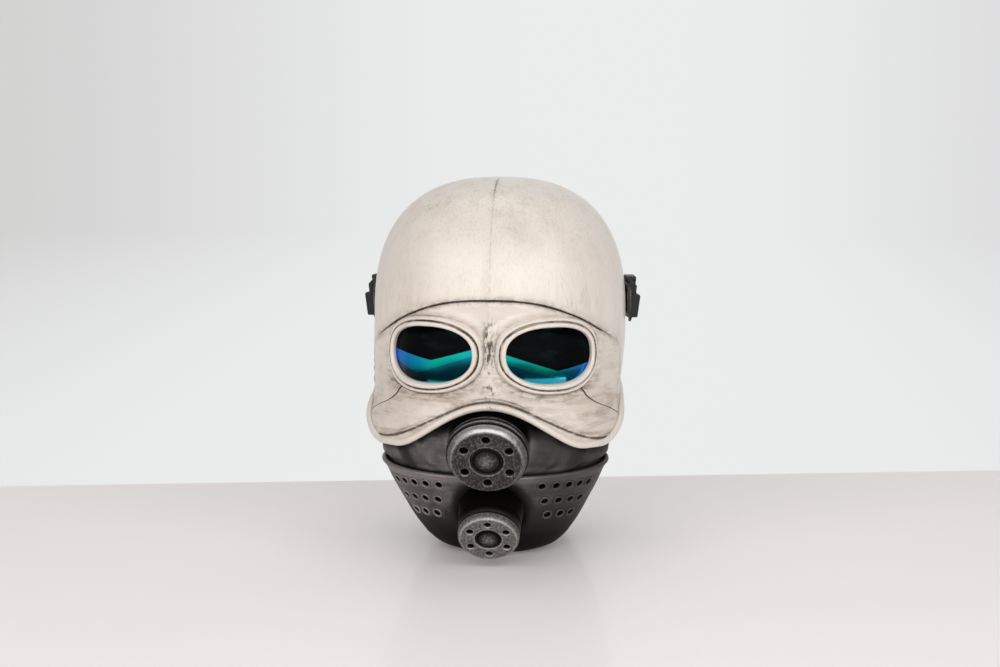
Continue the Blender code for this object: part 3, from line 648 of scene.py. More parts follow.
    # The layers, from the base up
    colour = paint.blend(paint.clamp(darkening), (0.775, 0.700, 0.626), (0.47, 0.385, 0.310))
    colour = paint.blend(paint.clamp(brown), colour, (0.150, 0.098, 0.066))
    colour = paint.blend(paint.clamp(black), colour, (0.022, 0.016, 0.012))
    rough = 0.25 + 0.16 * cloud + 0.30 * paint.clamp(brown) + 0.25 * paint.clamp(black)
    lines = paint.larger(brow_line, seam, panel_line, lip_line * 0.7, eye_line * 0.4)
    relief = 0.15 * grain + 0.22 * fine * forehead + 0.10 * hair * forehead - 1.6 * lines - 0.35 * strokes
    paint.give(Base_Color=colour, Roughness=rough, Normal=paint.bump(relief, 0.00035))
    return paint.material


# %% Raw cast resin on the insides
def raw_resin():
    """Dull dark grey, the same on all insides."""
    resin = Finish("raw_resin", Specular_IOR_Level=0.35)
    cloud = resin.noise(40.0, 4.0)
    grain = resin.noise(700.0, 3.0)
    colour = resin.blend(cloud, (0.055, 0.050, 0.048), (0.10, 0.092, 0.086))
    relief = resin.bump(cloud + 0.2 * grain, 0.0006)
    resin.give(Base_Color=colour, Roughness=0.55 + 0.25 * cloud, Normal=relief)
    return resin.material


# %% [markdown]
# ## Gunmetal paint, worn canister metal and the mirrored lens
# The muzzle and guards are near-black paint with silver brushed over their crests. The canisters have more
# of it, in fine mottling and along their edges, lighter at the top as a painted highlight. The lenses are
# black plastic under a mirror coat whose colour paints a reflection in: green and blue low down and almost
# nothing above. Both dark paints read two marks: crest, where silver shows, and shade, painted shade and
# shadow where parts tuck under one another, together with grime in grooves and vents.


# %% Gunmetal paint
SHADE_AND_GRIME = (0.004, 0.0032, 0.0026)


def gunmetal_paint():
    """Dark paint with cloudy silver rubbed over it. Less silver towards +X paints that side in shade."""
    paint = Finish("gunmetal_paint", Specular_IOR_Level=0.5)
    crest, shade = paint.mark("crest"), paint.mark("shade")
    cloud = paint.noise(34.0, 5.0, 0.62)
    brush = paint.noise((60.0, 60.0, 420.0), 5.0, 0.65, 0.6)
    scratch = paint.noise((520.0, 120.0, 90.0), 6.0, 0.7, 1.2)
    speck = paint.noise(700.0, 4.0, 0.7)
    worn = 0.18 + paint.step(0.38, 0.80, cloud) * 0.62 + paint.step(0.46, 0.80, brush) * 0.24
    worn = worn + paint.step(0.54, 0.74, scratch) * 0.24 + crest * (0.45 + 0.5 * speck)
    # Painted shade: less silver towards +X darkens that side.
    silver_less_on_shaded_side = 0.76 - 0.62 * paint.step(0.006, 0.056, paint.axis("X"))
    worn = paint.clamp(worn * silver_less_on_shaded_side - 0.9 * shade)
    colour = paint.blend(worn, (0.028, 0.0245, 0.0235), (0.33, 0.305, 0.295))
    # The shade mark paints shade and shadow in as near-black, with grime in grooves; more metal there keeps
    # it dark.
    colour = paint.blend(paint.clamp(shade), colour, SHADE_AND_GRIME)
    rough = 0.46 - 0.16 * worn + 0.14 * speck + 0.25 * shade
    relief = 0.5 * cloud + 0.12 * brush + 0.16 * speck
    metal = paint.clamp(0.30 + 0.50 * worn + 0.60 * shade)
    paint.give(Base_Color=colour, Roughness=rough, Metallic=metal, Normal=paint.bump(relief, 0.0005))
    return paint.material


def canister_metal():
    """Worn metal paint on the canisters: a dark mottled ground with bright specks and rubbed edges."""
    paint = Finish("filter_metal", Specular_IOR_Level=0.5)
    crest, shade = paint.mark("crest"), paint.mark("shade")
    cloud = paint.noise(60.0, 5.0, 0.62)
    mottle = paint.noise((620.0, 620.0, 380.0), 6.0, 0.74, 0.3)
    scratch = paint.noise((900.0, 500.0, 160.0), 6.0, 0.7, 0.8)
    speck = paint.noise(1100.0, 3.0, 0.7)
    worn = 0.08 + paint.step(0.42, 0.70, mottle) * (0.18 + 0.40 * cloud)
    worn = worn + paint.step(0.54, 0.72, scratch) * 0.30
    rubbed = paint.step(0.34, 0.64, mottle + 0.16 * crest) * crest
    worn = paint.clamp(worn + rubbed - 0.85 * shade)
    colour = paint.blend(worn, (0.024, 0.0215, 0.0205), (0.46, 0.437, 0.42))
    # The shade mark paints shade and shadow in as near-black, with grime in grooves; more metal there keeps
    # it dark.
    colour = paint.blend(paint.clamp(shade), colour, SHADE_AND_GRIME)
    relief = 0.5 * mottle + 0.2 * speck + 0.35 * worn
    metal = paint.clamp(0.35 + 0.55 * worn + 0.60 * shade)
    rough = 0.48 - 0.22 * worn + 0.10 * speck + 0.30 * shade
    paint.give(Base_Color=colour, Roughness=rough, Metallic=metal, Normal=paint.bump(relief, 0.0004))
    return paint.material


# %% Mirrored lens
def mirror_lens():
    """Black plastic under a mirror coat whose reflection is painted in: its tints below the edge marked low,
    changing at the edge marked facet, and near-black above.
    """
    lens = Finish("mirror_lens", Specular_IOR_Level=0.08, IOR=1.45)
    low, facet, across = lens.mark("low"), lens.mark("facet"), lens.mark("across")
    drift = lens.noise(42.0, 3.0, 0.5, 0.6)
    # Painted reflection: below the edge marked low the lens takes the tints and more metal, strongest just
    # under the edge.
    bright = lens.step(0.012, -0.012, low)
    below = lens.step(0.010, -0.010, facet)
    share = lens.clamp(0.45 + 0.50 * across + 0.5 * (drift - 0.5))
    outer = lens.ramp(share, ((0.0, (0.006, 0.42, 0.42)), (0.38, (0.004, 0.46, 0.34)),
                              (0.68, (0.006, 0.36, 0.66)), (1.0, (0.050, 0.080, 0.70))))
    inner = lens.ramp(share, ((0.0, (0.010, 0.24, 0.34)), (0.45, (0.012, 0.20, 0.26)),
                              (0.80, (0.095, 0.125, 0.165)), (1.0, (0.012, 0.030, 0.42))))
    band = lens.blend(below, outer, inner)
    reflection_strength = 0.55 + 0.45 * lens.step(-0.75, -0.05, low)
    colour = lens.blend(bright * reflection_strength, (0.002, 0.0025, 0.003), band)
    wisps = lens.noise((30.0, 30.0, 120.0), 3.0, 0.5)
    # Faint teal wisps of painted reflection in the dark upper part.
    reflection_wisps = lens.step(0.54, 0.62, wisps) * lens.step(0.15, 0.45, low)
    colour = lens.blend(reflection_wisps * 0.06, colour, (0.010, 0.085, 0.090))
    lens.give(Base_Color=colour, Metallic=0.55 + 0.40 * bright, Roughness=0.06 + 0.06 * drift)
    return lens.material


# %% [markdown]
# ## Black plastic and webbing
# The buckles are black plastic, with a fine grain and grey rubbing on their edges. Webbing is woven: the
# finish takes its weave from the strap's own lengthwise and crosswise marks, so it follows every bend.


# %% Black plastic and webbing
def black_plastic():
    """Nearly black, and grey where its edges are rubbed."""
    plastic = Finish("black_plastic", Specular_IOR_Level=0.36)
    crest = plastic.mark("crest")
    grain = plastic.noise(1500.0, 2.0, 0.5)
    rub = plastic.noise(160.0, 5.0, 0.65)
    worn = crest * (0.35 + 0.65 * plastic.step(0.42, 0.60, rub)) + 0.16 * plastic.step(0.60, 0.75, rub)
    worn = plastic.clamp(worn)
    colour = plastic.blend(worn, (0.007, 0.007, 0.008), (0.13, 0.126, 0.122))
    relief = plastic.bump(grain + 0.5 * rub, 0.00015)
    plastic.give(Base_Color=colour, Roughness=0.42 + 0.2 * worn, Normal=relief)
    return plastic.material


WARP_PITCH = 0.0011
WEFT_PITCH = 0.0016


def black_webbing():
    """A twill of fine threads, by the places marked run and width."""
    webbing = Finish("black_webbing", Specular_IOR_Level=0.25, Sheen_Weight=0.25, Sheen_Roughness=0.5)
    run, width = webbing.mark("run"), webbing.mark("width")
    warp = webbing.maths("SINE", width * (2 * pi / WARP_PITCH))
    weft = webbing.maths("SINE", run * (2 * pi / WEFT_PITCH) + width * (pi / WARP_PITCH))
    weave = 0.5 + 0.25 * warp + 0.25 * warp * weft
    fuzz = webbing.noise(1800.0, 2.0)
    rub = webbing.noise(90.0, 4.0)
    raised = webbing.clamp(0.65 * weave + 0.35 * rub)
    colour = webbing.blend(raised, (0.006, 0.006, 0.007), (0.040, 0.040, 0.042))
    relief = webbing.bump(weave + 0.2 * fuzz, 0.0004)
    webbing.give(Base_Color=colour, Roughness=0.80 + 0.15 * fuzz, Normal=relief)
    return webbing.material


IVORY = ivory_paint()
RESIN = raw_resin()
GUNMETAL = gunmetal_paint()
CANISTER = canister_metal()
LENS = mirror_lens()
PLASTIC = black_plastic()
WEBBING = black_webbing()
print("finishes", len([material for material in bpy.data.materials if material.use_nodes]))


def dress(piece, slot, *materials):
    """Gives a piece its finishes and hangs it on the helmet's one body. Its slot is not used."""
    for material in materials:
        piece.data.materials.append(material)
    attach(piece, "root")
    return piece


# %% [markdown]
# ## The ivory shell
# The shell is one moulding: dome, brow, face and a skirt that ends in a rolled lip. Its skin is a fine
# grid, closer in front. Low relief is added along the surface's own way out: a groove at the brow, a ridge
# down the middle and a bridge at the nose. The eye openings are cut by leaving faces out and drawing the
# edge that is left onto the oval.

# %% Eye openings
EYE_CENTRE = 0.093 / 2
EYE_LEVEL = 0.1665
EYE_HALF_WIDTH = 0.035
EYE_HALF_HEIGHT = 0.0215
EYE_POWER = 2.4
RIM_BAND = 0.0078
RIM_RISE = 0.0052
EYE_TURN = radians(25)
EYE_TILT = radians(4)
SIDES = ((-1, "right"), (1, "left"))


def eye_frame(side):
    """Centre of an eye opening, and its sideways, upward and outward directions."""
    x = side * EYE_CENTRE
    centre = np.array([x, EARS_PLACE - float(face_depth(x, EYE_LEVEL)), EYE_LEVEL])
    turn = Matrix.Rotation(side * EYE_TURN, 3, "Z") @ Matrix.Rotation(EYE_TILT, 3, "X")
    return centre, *(np.array(turn @ Vector(way)) for way in ((1, 0, 0), (0, 0, 1), (0, -1, 0)))


def on_face(eye, across, up, lift):
    """Points of the face behind places in an eye's plane, lifted off it."""
    centre, sideways, upward, out = eye
    flat = centre + np.asarray(across)[..., None] * sideways + np.asarray(up)[..., None] * upward
    depth = np.zeros(flat.shape[:-1])
    # Each round moves nearly all of the way that is left, so fourteen are plenty
    for _ in range(14):
        spot = flat + depth[..., None] * out
        depth = depth + (face_depth(spot[..., 0], spot[..., 2]) + spot[..., 1] - EARS_PLACE) * 0.9
    return flat + (depth + lift)[..., None] * out


def oval(turn, grow):
    """Places round an eye's oval in its plane, grown by some width."""
    across = (EYE_HALF_WIDTH + grow) * power(np.cos(turn), 2 / EYE_POWER)
    up = (EYE_HALF_HEIGHT + grow) * power(np.sin(turn), 2 / EYE_POWER)
    return across, up


def oval_share(across, up, grow=0.0):
    """How far out places are in an eye's plane, as a share of the oval's own size that way."""
    wide, high = EYE_HALF_WIDTH + grow, EYE_HALF_HEIGHT + grow
    reach = np.abs(across / wide) ** EYE_POWER + np.abs(up / high) ** EYE_POWER
    return np.maximum(reach, 1e-9) ** (1 / EYE_POWER)


def beyond_oval(eye, points, grow=0.0):
    """Roughly how far points lie outside an eye's oval, in its plane. Points at the back count as far off."""
    centre, sideways, upward, out = eye
    offset = points - centre
    across, up, depth = offset @ sideways, offset @ upward, offset @ out
    gap = np.hypot(across, up) * (1 - 1 / oval_share(across, up, grow))
    return np.where(np.abs(depth) < 0.04, gap, 0.1)


EYES = {side: eye_frame(side) for side in (-1, 1)}


def beyond_rims(points):
    """How far points lie outside the nearer eyepiece rim."""
    return np.minimum(*(beyond_oval(eye, points, RIM_BAND) for eye in EYES.values()))


def cut_eyes(points, faces):
    """Leaves out the faces inside both ovals, and draws the edges that are left onto them."""
    for eye in EYES.values():
        gap = beyond_oval(eye, points[faces].mean(axis=1))
        gone = gap < 0
        rim = np.intersect1d(faces[gone], faces[~gone])
        faces = faces[~gone]
        offset = points[rim] - eye[0]
        across, up = offset @ eye[1], offset @ eye[2]
        share = oval_share(across, up)
        points[rim] = on_face(eye, across / share, up / share, 0.0)
    return faces


# %% Relief of the shell
def brow_height(x):
    """Height of the brow line, one plain arch."""
    return 0.2085 - 0.030 * (np.abs(x) / 0.088) ** 2.6


def shell_relief(azimuth, height, points):
    """How far out the skin is moved, by the brow's roll and groove, the ridge, the bridge and the folds."""
    x = points[..., 0]
    ahead = smooth(radians(100), radians(70), np.abs(azimuth))
    gap = (height - brow_height(x)) * ahead + 0.1 * (1 - ahead)
    roll = 0.0012 * hump(gap + 0.0042, 0.0030) + 0.0005 * hump(gap - 0.0035, 0.003)
    roll = roll - 0.0012 * hump(gap, 0.0010)
    ridge = 0.0007 * hump(x, 0.0026) * ahead * smooth(0.150, 0.200, height) * smooth(0.297, 0.280, height)
    bridge = 0.0024 * hump(x, 0.0075) * smooth(0.128, 0.145, height) * smooth(0.196, 0.178, height) * ahead
    cheek_fold = 0.0020 * hump(height - (0.1355 - 0.30 * np.abs(np.abs(x) - 0.05)), 0.0065) * ahead
    beyond = beyond_rims(points)
    eye_fold = 0.0014 * hump(beyond - 0.0036, 0.0030) - 0.0007 * hump(beyond - 0.0002, 0.0011)
    below = 0.0011 * hump(height - rim_height(azimuth) - 0.0055, 0.0017)
    return roll + ridge + bridge + eye_fold * smooth(0.0005, 0.006, np.abs(x)) - cheek_fold - below


# %% Shell
FRONT_CROWDING = 0.42
BROW_ROWS = (-0.0034, -0.0024, -0.0016, -0.0009, -0.0004, 0.0, 0.0004, 0.0009, 0.0016, 0.0024)
ABOVE_BROW = 0.0034


def crowded(columns):
    """Azimuths all the way round, closer together in front."""
    even = np.linspace(-pi, pi, columns, endpoint=False)
    return even - FRONT_CROWDING * np.sin(even)


def shell_grid(columns, wall_rows, dome_rows):
    """Azimuths and heights of the shell's grid. One row follows the brow, and columns are closer in front."""
    azimuth = crowded(columns)
    low, brow = rim_height(azimuth), np.full(columns, SPRING_HEIGHT)
    for _ in range(12):
        brow = brow_height(shell_point(azimuth, brow)[..., 0])
    band = np.array(BROW_ROWS)[:, None]
    share = np.linspace(0, 1, wall_rows, endpoint=False)[:, None]
    wall = low + (brow + band[0] - low) * share
    climb = np.linspace(0, pi / 2, 900)
    rise = SPRING_HEIGHT + (HELMET_HEIGHT - SPRING_HEIGHT) * np.sin(climb) ** (2 / DOME_POWERS[0])
    steps = np.hypot(np.diff(DOME_HALF * np.cos(climb) ** (2 / DOME_POWERS[0])), np.diff(rise))
    length = np.concatenate([[0], np.cumsum(steps)])
    low_length = brow + ABOVE_BROW - SPRING_HEIGHT
    low_length = np.where(low_length > 0, np.interp(brow + ABOVE_BROW, rise, length), low_length)
    wanted = low_length + (length[-1] - low_length) * np.linspace(0, 1, dome_rows)[:, None]
    dome = np.where(wanted < 0, SPRING_HEIGHT + wanted, np.interp(wanted, length, rise))
    height = np.concatenate([wall, brow + band, dome])
    return np.broadcast_to(azimuth, height.shape), height


azimuth, height = shell_grid(292, 62, 84)
points = shell_point(azimuth, height)
away = outward(shell_point, azimuth, np.minimum(height, HELMET_HEIGHT - 0.002))
away[-1] = (0, 0, 1)
points = points + shell_relief(azimuth, height, points)[..., None] * away
shell = skin("helmet_shell_skin", points, around=True, opening=cut_eyes)

spots = places(shell)
shell_turn = azimuth_of(spots)
mark(shell, edge=np.clip(spots[:, 2] - rim_height(shell_turn), 0, 0.1))
mark(shell, eye=np.clip(beyond_rims(spots), -0.01, 0.05))
mark(shell, brow=np.clip(spots[:, 2] - brow_height(spots[:, 0]), -0.1, 0.1))

# The cheek line runs from under an eyepiece out to the lip. Its gaps are signed, so a thin line stays sharp
cheek_levels = (0.098, 0.108, 0.115, 0.121, 0.127, 0.133, 0.140, 0.146)
cheek_turns = np.radians((74.0, 66.0, 60.5, 54.6, 46.5, 41.5, 38.5, 37.5))
cheek_line = along(np.stack([cheek_levels, cheek_turns], axis=1), 1, spots[:, 2])
cheek_gap = (np.abs(shell_turn) - cheek_line) * 0.075
on_cheek = (spots[:, 2] < 0.147) & (np.abs(shell_turn) < pi / 2)
mark(shell, panel=np.where(on_cheek, cheek_gap, 0.1), trough=0.0)
add_wall(shell, SHELL_WALL, inside=1)
dress(shell, "ivory_paint", IVORY, RESIN)
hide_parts("helmet_shell")
print("shell", len(shell.data.polygons), "quads before its wall")

# %% [markdown]
# The lip is rolled like the edge of a tin. One rounded outline swept along the skirt's edge gives it, so
# that it catches the light as one line all the way round.

# %% Rolled lip
LIP_RISE, LIP_INSET = 0.0018, 0.0012
turn = crowded(420)
lip_path = shell_point(turn, rim_height(turn) + LIP_RISE, LIP_INSET)
lip_out = outward(shell_point, turn, rim_height(turn) + 0.002)
run = np.roll(lip_path, -1, axis=0) - np.roll(lip_path, 1, axis=0)
run /= np.linalg.norm(run, axis=1, keepdims=True)
lip_down = np.cross(run, lip_out)
lip = sweep("shell_lip", lip_path, lip_out, lip_down, ring_outline(0.0023, 0.0027), around=True)
mark(lip, edge=0.03, eye=0.05, brow=0.1, panel=0.1, trough=0.0)
dress(lip, "ivory_paint", IVORY)
print("lip", len(lip.data.polygons), "quads")

# %% [markdown]
# ## Eyepieces
# Each eyepiece is a moulded rim with two raised beads and a grimy groove between them, round a dark lens.
# The rim's outline is laid on the curved face at every step, so it sits down all the way round.

# %% Eyepiece rims
# Outline from the opening outwards, in shares of the rim's band and rise
RIM_OUTLINE = (
    (0.00, -0.20), (0.00, 0.30), (0.02, 0.56), (0.06, 0.75), (0.12, 0.90), (0.20, 0.99), (0.29, 1.01),
    (0.38, 0.95), (0.46, 0.82), (0.52, 0.66), (0.56, 0.54), (0.595, 0.49), (0.63, 0.53), (0.67, 0.63),
    (0.73, 0.69), (0.80, 0.66), (0.87, 0.55), (0.93, 0.39), (0.975, 0.20), (1.00, 0.02), (0.99, -0.12),
    (0.50, -0.20),
)


def eyepiece_rim(side, name):
    """The moulded rim round one opening, with its groove marked."""
    turn = np.linspace(0, 2 * pi, 200, endpoint=False)
    rows = []
    for band, rise in (*RIM_OUTLINE, RIM_OUTLINE[0]):
        across, up = oval(turn, band * RIM_BAND)
        rows.append(on_face(EYES[side], across, up, rise * RIM_RISE))
    rim = turn_outwards(skin(name, np.array(rows), around=True))
    band = beyond_oval(EYES[side], places(rim)) / RIM_BAND
    mark(rim, trough=hump(band - 0.60, 0.12) + 0.34 * hump(band - 1.02, 0.13))
    mark(rim, edge=0.03, eye=0.03, brow=0.1, panel=0.1)
    return rim


# %% Lenses
# Where the mirrored light ends on each lens: places from the nose outwards, then heights, as shares of half
# the opening's width and height
MIRROR_EDGES = {
    -1: {"low": ((-1, -0.05, 1), (0.20, -0.22, 0.06)), "facet": ((-1, 0.30, 1), (-0.02, -0.72, -0.30))},
    1: {"low": ((-1, 0.15, 1), (0.02, -0.58, -0.36)), "facet": ((-1, 0.05, 1), (-0.32, -0.80, -1.10))},
}


LENS_TUCK, LENS_CROWN, LENS_SINK, LENS_WALL = 0.0012, 0.0016, 0.0002, 0.0018


def lens_plate(side, name):
    """A crowned plate behind the rim, with its own thickness."""
    turn = np.linspace(0, 2 * pi, 144, endpoint=False)
    rows = []
    for spread in (*np.linspace(1, 0.04, 26), 0.0):
        across, up = oval(turn, LENS_TUCK)
        lift = LENS_CROWN * (1 - spread**2) - LENS_SINK
        rows.append(on_face(EYES[side], across * spread, up * spread, lift))
    plate = skin(name, np.array(rows), around=True)
    form = bmesh.new()
    form.from_mesh(plate.data)
    if sum(face.normal @ Vector(EYES[side][3]) for face in form.faces) < 0:
        bmesh.ops.reverse_faces(form, faces=form.faces)
    form.to_mesh(plate.data)
    form.free()
    offset = places(plate) - EYES[side][0]
    up = offset @ EYES[side][2] / EYE_HALF_HEIGHT
    across = side * (offset @ EYES[side][1]) / EYE_HALF_WIDTH
    mark(plate, across=across)
    for key, (stations, levels) in MIRROR_EDGES[side].items():
        mark(plate, **{key: up - np.interp(across, stations, levels)})
    add_wall(plate, LENS_WALL)
    return plate


for side, word in SIDES:
    rim = dress(eyepiece_rim(side, "eyepiece_rim_skin_" + word), "ivory_paint", IVORY)
    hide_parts("eyepiece_rim_" + word)
    plate = dress(lens_plate(side, "lens_plate_" + word), "mirror_lens", LENS)
    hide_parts("lens_" + word)
print("eyepiece rims and lenses made")

# %% [markdown]
# ## Canisters
# Both filter canisters are turned: a flat face with a sunk seat for the centre cap and a ring of vents, a
# worn bevel round it that is lighter along its top as a painted highlight, and grooves along the barrel.
# They are set first, because the muzzle swells round the upper one.

# %% Where the canisters sit
UPPER_SEAT_HEIGHT = 0.1025
LOWER_SEAT_SHARE = 0.4244
UPPER_STAND_OFF = 0.0317
LOWER_STAND_OFF = 0.0314
UPPER_SEAT = muzzle_point(0.0, UPPER_SEAT_HEIGHT)
LOWER_SEAT = chin_point(0.0, LOWER_SEAT_SHARE * UPPER_SEAT_HEIGHT)
UPPER_TILT = radians(25)
LOWER_TILT = radians(34)
VENTS = 6
CANISTER_WALL = 0.0026


def canister_matrix(seat, stand_off, tilt):
    """Carries a canister's own axes, with its face at no height and +Z outwards, to the helmet."""
    ahead = Vector((0.0, -cos(tilt), -sin(tilt)))
    return Matrix.Translation(Vector(seat) + stand_off * ahead) @ Matrix.Rotation(pi / 2 + tilt, 4, "X")


UPPER_PLACE = canister_matrix(UPPER_SEAT, UPPER_STAND_OFF, UPPER_TILT)
LOWER_PLACE = canister_matrix(LOWER_SEAT, LOWER_STAND_OFF, LOWER_TILT)


def from_axis(matrix, points):
    """Distance of points from a canister's axis, and their height along it."""
    inside = np.array(matrix.inverted())
    local = points @ inside[:3, :3].T + inside[:3, 3]
    return np.hypot(local[..., 0], local[..., 1]), local[..., 2]


def vent_holes(matrix, circle, radius):
    """Centre, direction and radius of each vent in a canister's face."""
    holes = []
    for index in range(VENTS):
        turn = 2 * pi * (index + 0.5) / VENTS
        spot = matrix @ Vector((circle * cos(turn), circle * sin(turn), 0.0))
        holes.append((np.array(spot), np.array(matrix.to_3x3() @ Vector((0, 0, 1))), radius))
    return holes


# %% Turn a canister
def canister(name, matrix, profile, face_radius, cap_radius, vent_radius, grooves, steps,
             bevel_wear_and_highlight, face_wear, dark_face, barrel_shadow):
    """A turned body, marked where it is rubbed bright and lighter still along its top as a painted highlight,
    and where shade and shadow are painted in.
    """
    holes = vent_holes(matrix, (cap_radius + face_radius) / 2, vent_radius)
    body = skin(name, turned_grid(profile, 168, matrix)[::-1], around=True, holes=holes)
    spots = places(body)
    radius, height = from_axis(matrix, spots)
    gap = np.min([np.linalg.norm(spots - centre, axis=1) for centre, _, _ in holes], axis=0) - vent_radius
    on_face_plate = height > -0.0006
    lift = unit(np.array(matrix.to_3x3() @ Vector((0, 1, 0))))
    rise = (spots - np.array(matrix.translation)) @ lift / np.maximum(radius, 0.001)
    upper_side, highlit_top = smooth(-0.25, 0.75, rise), smooth(0.30, 0.98, rise)

    # Rubbed edges, ring tops and bevel are lightest along the top: a painted highlight over the wear.
    edge = hump(radius - face_radius, 0.0008) * (height > -0.004) * (0.40 + 0.40 * upper_side)
    edge = edge + 0.55 * on_face_plate * (hump(gap, 0.0005) + hump(radius - cap_radius - 0.0008, 0.0006))
    for level in steps:
        edge = edge + 0.75 * hump(height - level, 0.0007) * highlit_top * (radius > face_radius * 0.9)
    bevel = (0.12 + 0.88 * highlit_top) * (radius > face_radius) * (height > -0.0056)
    mark(body, crest=np.clip(edge + bevel_wear_and_highlight * bevel + face_wear * on_face_plate, 0, 1))

    # Painted shade: dark grooves, the cap's sunk seat, a painted shadow on the barrel's top, darker further
    # back, and the face darkened by dark_face.
    shade = sum(hump(height - groove, 0.0007) for groove in grooves) * (radius > cap_radius * 1.3)
    shade = shade + 0.8 * (height < -0.0008) * (radius < cap_radius * 1.02)
    shade = shade + barrel_shadow * upper_side * smooth(-0.006, -0.013, height)
    shade = shade + 0.35 * smooth(-0.012, -0.030, height) + dark_face * on_face_plate
    mark(body, shade=np.clip(shade, 0, 1))
    add_wall(body, CANISTER_WALL, inside=1)
    dress(body, "filter_metal", CANISTER, RESIN)
    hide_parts(name.replace("_body", ""))
    return body


def grooved(start, end, depths, sink=0.0009):
    """Corners along a barrel between two (radius, height) pairs, with a groove at each share in depths."""
    start, end = np.array(start), np.array(end)
    length = np.linalg.norm(end - start)
    corners = []
    for share in depths:
        for step, drop in ((-0.0007, 0.0), (-0.0004, sink), (0.0004, sink), (0.0007, 0.0)):
            spot = start + (end - start) * (share + step / length)
            corners.append((spot[0] - drop, spot[1]))
    return [tuple(start), *corners, tuple(end)]


upper_profile = fine_profile([
    (0.0, -0.0025), (0.0128, -0.0025), (0.0128, 0.0), (0.0270, 0.0), (0.0292, -0.0022),
    *grooved((0.0302, -0.0052), (0.0320, -0.0084), (0.5,)),
    *grooved((0.0320, -0.0086), (0.0320, -0.0140), (0.45,)),
    (0.0245, -0.0142), *grooved((0.0245, -0.0146), (0.0245, -0.0210), (0.5,)),
    (0.0200, -0.0212), (0.0200, -0.0400),
])
lower_profile = fine_profile([
    (0.0, -0.0025), (0.0103, -0.0025), (0.0103, 0.0), (0.0220, 0.0), (0.0236, -0.0018),
    *grooved((0.0238, -0.0046), (0.0240, -0.0133), (0.30,)),
    *grooved((0.0241, -0.0140), (0.0252, -0.0304), (0.12,)),
    (0.0252, -0.0380),
])
upper = canister("upper_filter_body", UPPER_PLACE, upper_profile,
                 face_radius=0.0270, cap_radius=0.0125, vent_radius=0.0036,
                 grooves=(-0.0068, -0.0110, -0.0178), steps=(-0.0088, -0.0136, -0.0150, -0.0205),
                 bevel_wear_and_highlight=0.85, face_wear=0.0, dark_face=0.16, barrel_shadow=0.25)
lower = canister("lower_filter_body", LOWER_PLACE, lower_profile,
                 face_radius=0.0220, cap_radius=0.0100, vent_radius=0.0030,
                 grooves=(-0.0072, -0.0160), steps=(),
                 bevel_wear_and_highlight=0.15, face_wear=0.16, dark_face=0.0, barrel_shadow=1.0)


# %% Centre caps
def centre_cap(name, matrix, radius):
    """A domed plug with a shoulder, seated in the canister's face."""
    dome = [(radius * 0.80 * sin(lean), -0.0005 + 0.0015 * cos(lean)) for lean in np.linspace(0, pi / 2, 16)]
    shoulder = [(radius * 0.84, -0.0010), (radius * 0.97, -0.0012), (radius, -0.0016), (radius, -0.0022)]
    cap = skin(name, turned_grid([*dome, *shoulder, (0.0, -0.0022)], 96, matrix)[::-1], around=True)
    away_from_axis, _ = from_axis(matrix, places(cap))
    shade_round_dome = hump(away_from_axis - radius * 0.83, 0.001)
    # A soft painted reflection in the middle of the dome, painted shade towards its rim and round its foot;
    # the shoulder's edge is rubbed.
    mark(cap, crest=0.42 * hump(away_from_axis, radius * 0.42)
         + 0.45 * hump(away_from_axis - radius * 0.95, 0.0006))
    mark(cap, shade=0.12 + 0.30 * smooth(0.3, 0.8, away_from_axis / radius) + 0.5 * shade_round_dome)
    dress(cap, "filter_metal", CANISTER)
    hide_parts(name.replace("_plug", ""))


centre_cap("upper_filter_cap_plug", UPPER_PLACE, 0.0122)
centre_cap("lower_filter_cap_plug", LOWER_PLACE, 0.0097)
print("canisters", len(upper.data.polygons), "and", len(lower.data.polygons), "quads before their walls")

# %% [markdown]
# ## Muzzle, chin guard and nape guard
# The muzzle is a smooth moulding that swells into a collar round the upper canister, with soft folds on
# each side. The chin guard is a bowl with rows of vents and a beaded upper edge. The nape guard closes the
# back of the neck. Each is a fine skin with a wall, and the muzzle and nape guard also have low relief
# along their way out.


# %% Muzzle
def fine_skin(name, surface, sides, levels, relief):
    """A skin over a grid of azimuths and heights, with relief added along its way out."""
    azimuth, height = np.meshgrid(sides, levels)
    points = surface(azimuth, height)
    away = outward(surface, azimuth, height)
    return skin(name, points + relief(azimuth, height, points)[..., None] * away)


def fold_gap(azimuth, height, start, slant, level):
    """How far points are round from a fold that leans with its height."""
    return np.abs(azimuth) - radians(start) - slant * (height - level)


def muzzle_relief(azimuth, height, points):
    """A collar round the canister and two folds a side, where the muzzle shows."""
    radius, _ = from_axis(UPPER_PLACE, points)
    open_part = smooth(0.0, 0.010, height - chin_top(azimuth))
    open_part = open_part * smooth(0.0, 0.012, rim_height(azimuth) - height + 0.004)
    collar = 0.0026 * hump(radius - 0.0315, 0.0045)
    fold = 0.0032 * hump(fold_gap(azimuth, height, 33, 6.0, 0.095), 0.070)
    second = 0.0020 * hump(fold_gap(azimuth, height, 51, 4.0, 0.090), 0.065)
    return (collar + (fold + second) * smooth(0.034, 0.042, radius)) * open_part


sides, levels = np.linspace(-MUZZLE_SWEEP, MUZZLE_SWEEP, 260), np.linspace(MUZZLE_BOTTOM, MUZZLE_TOP, 76)
muzzle = fine_skin("muzzle_skin", muzzle_point, sides, levels, muzzle_relief)
spots = places(muzzle)
turn, level = azimuth_of(spots), spots[:, 2]
radius, _ = from_axis(UPPER_PLACE, spots)
fold_crest = hump(fold_gap(turn, level, 33, 6.0, 0.095), 0.035) * smooth(0.034, 0.040, radius)
mark(muzzle, crest=np.clip(0.7 * hump(radius - 0.0335, 0.003) + 0.40 * fold_crest, 0, 1))
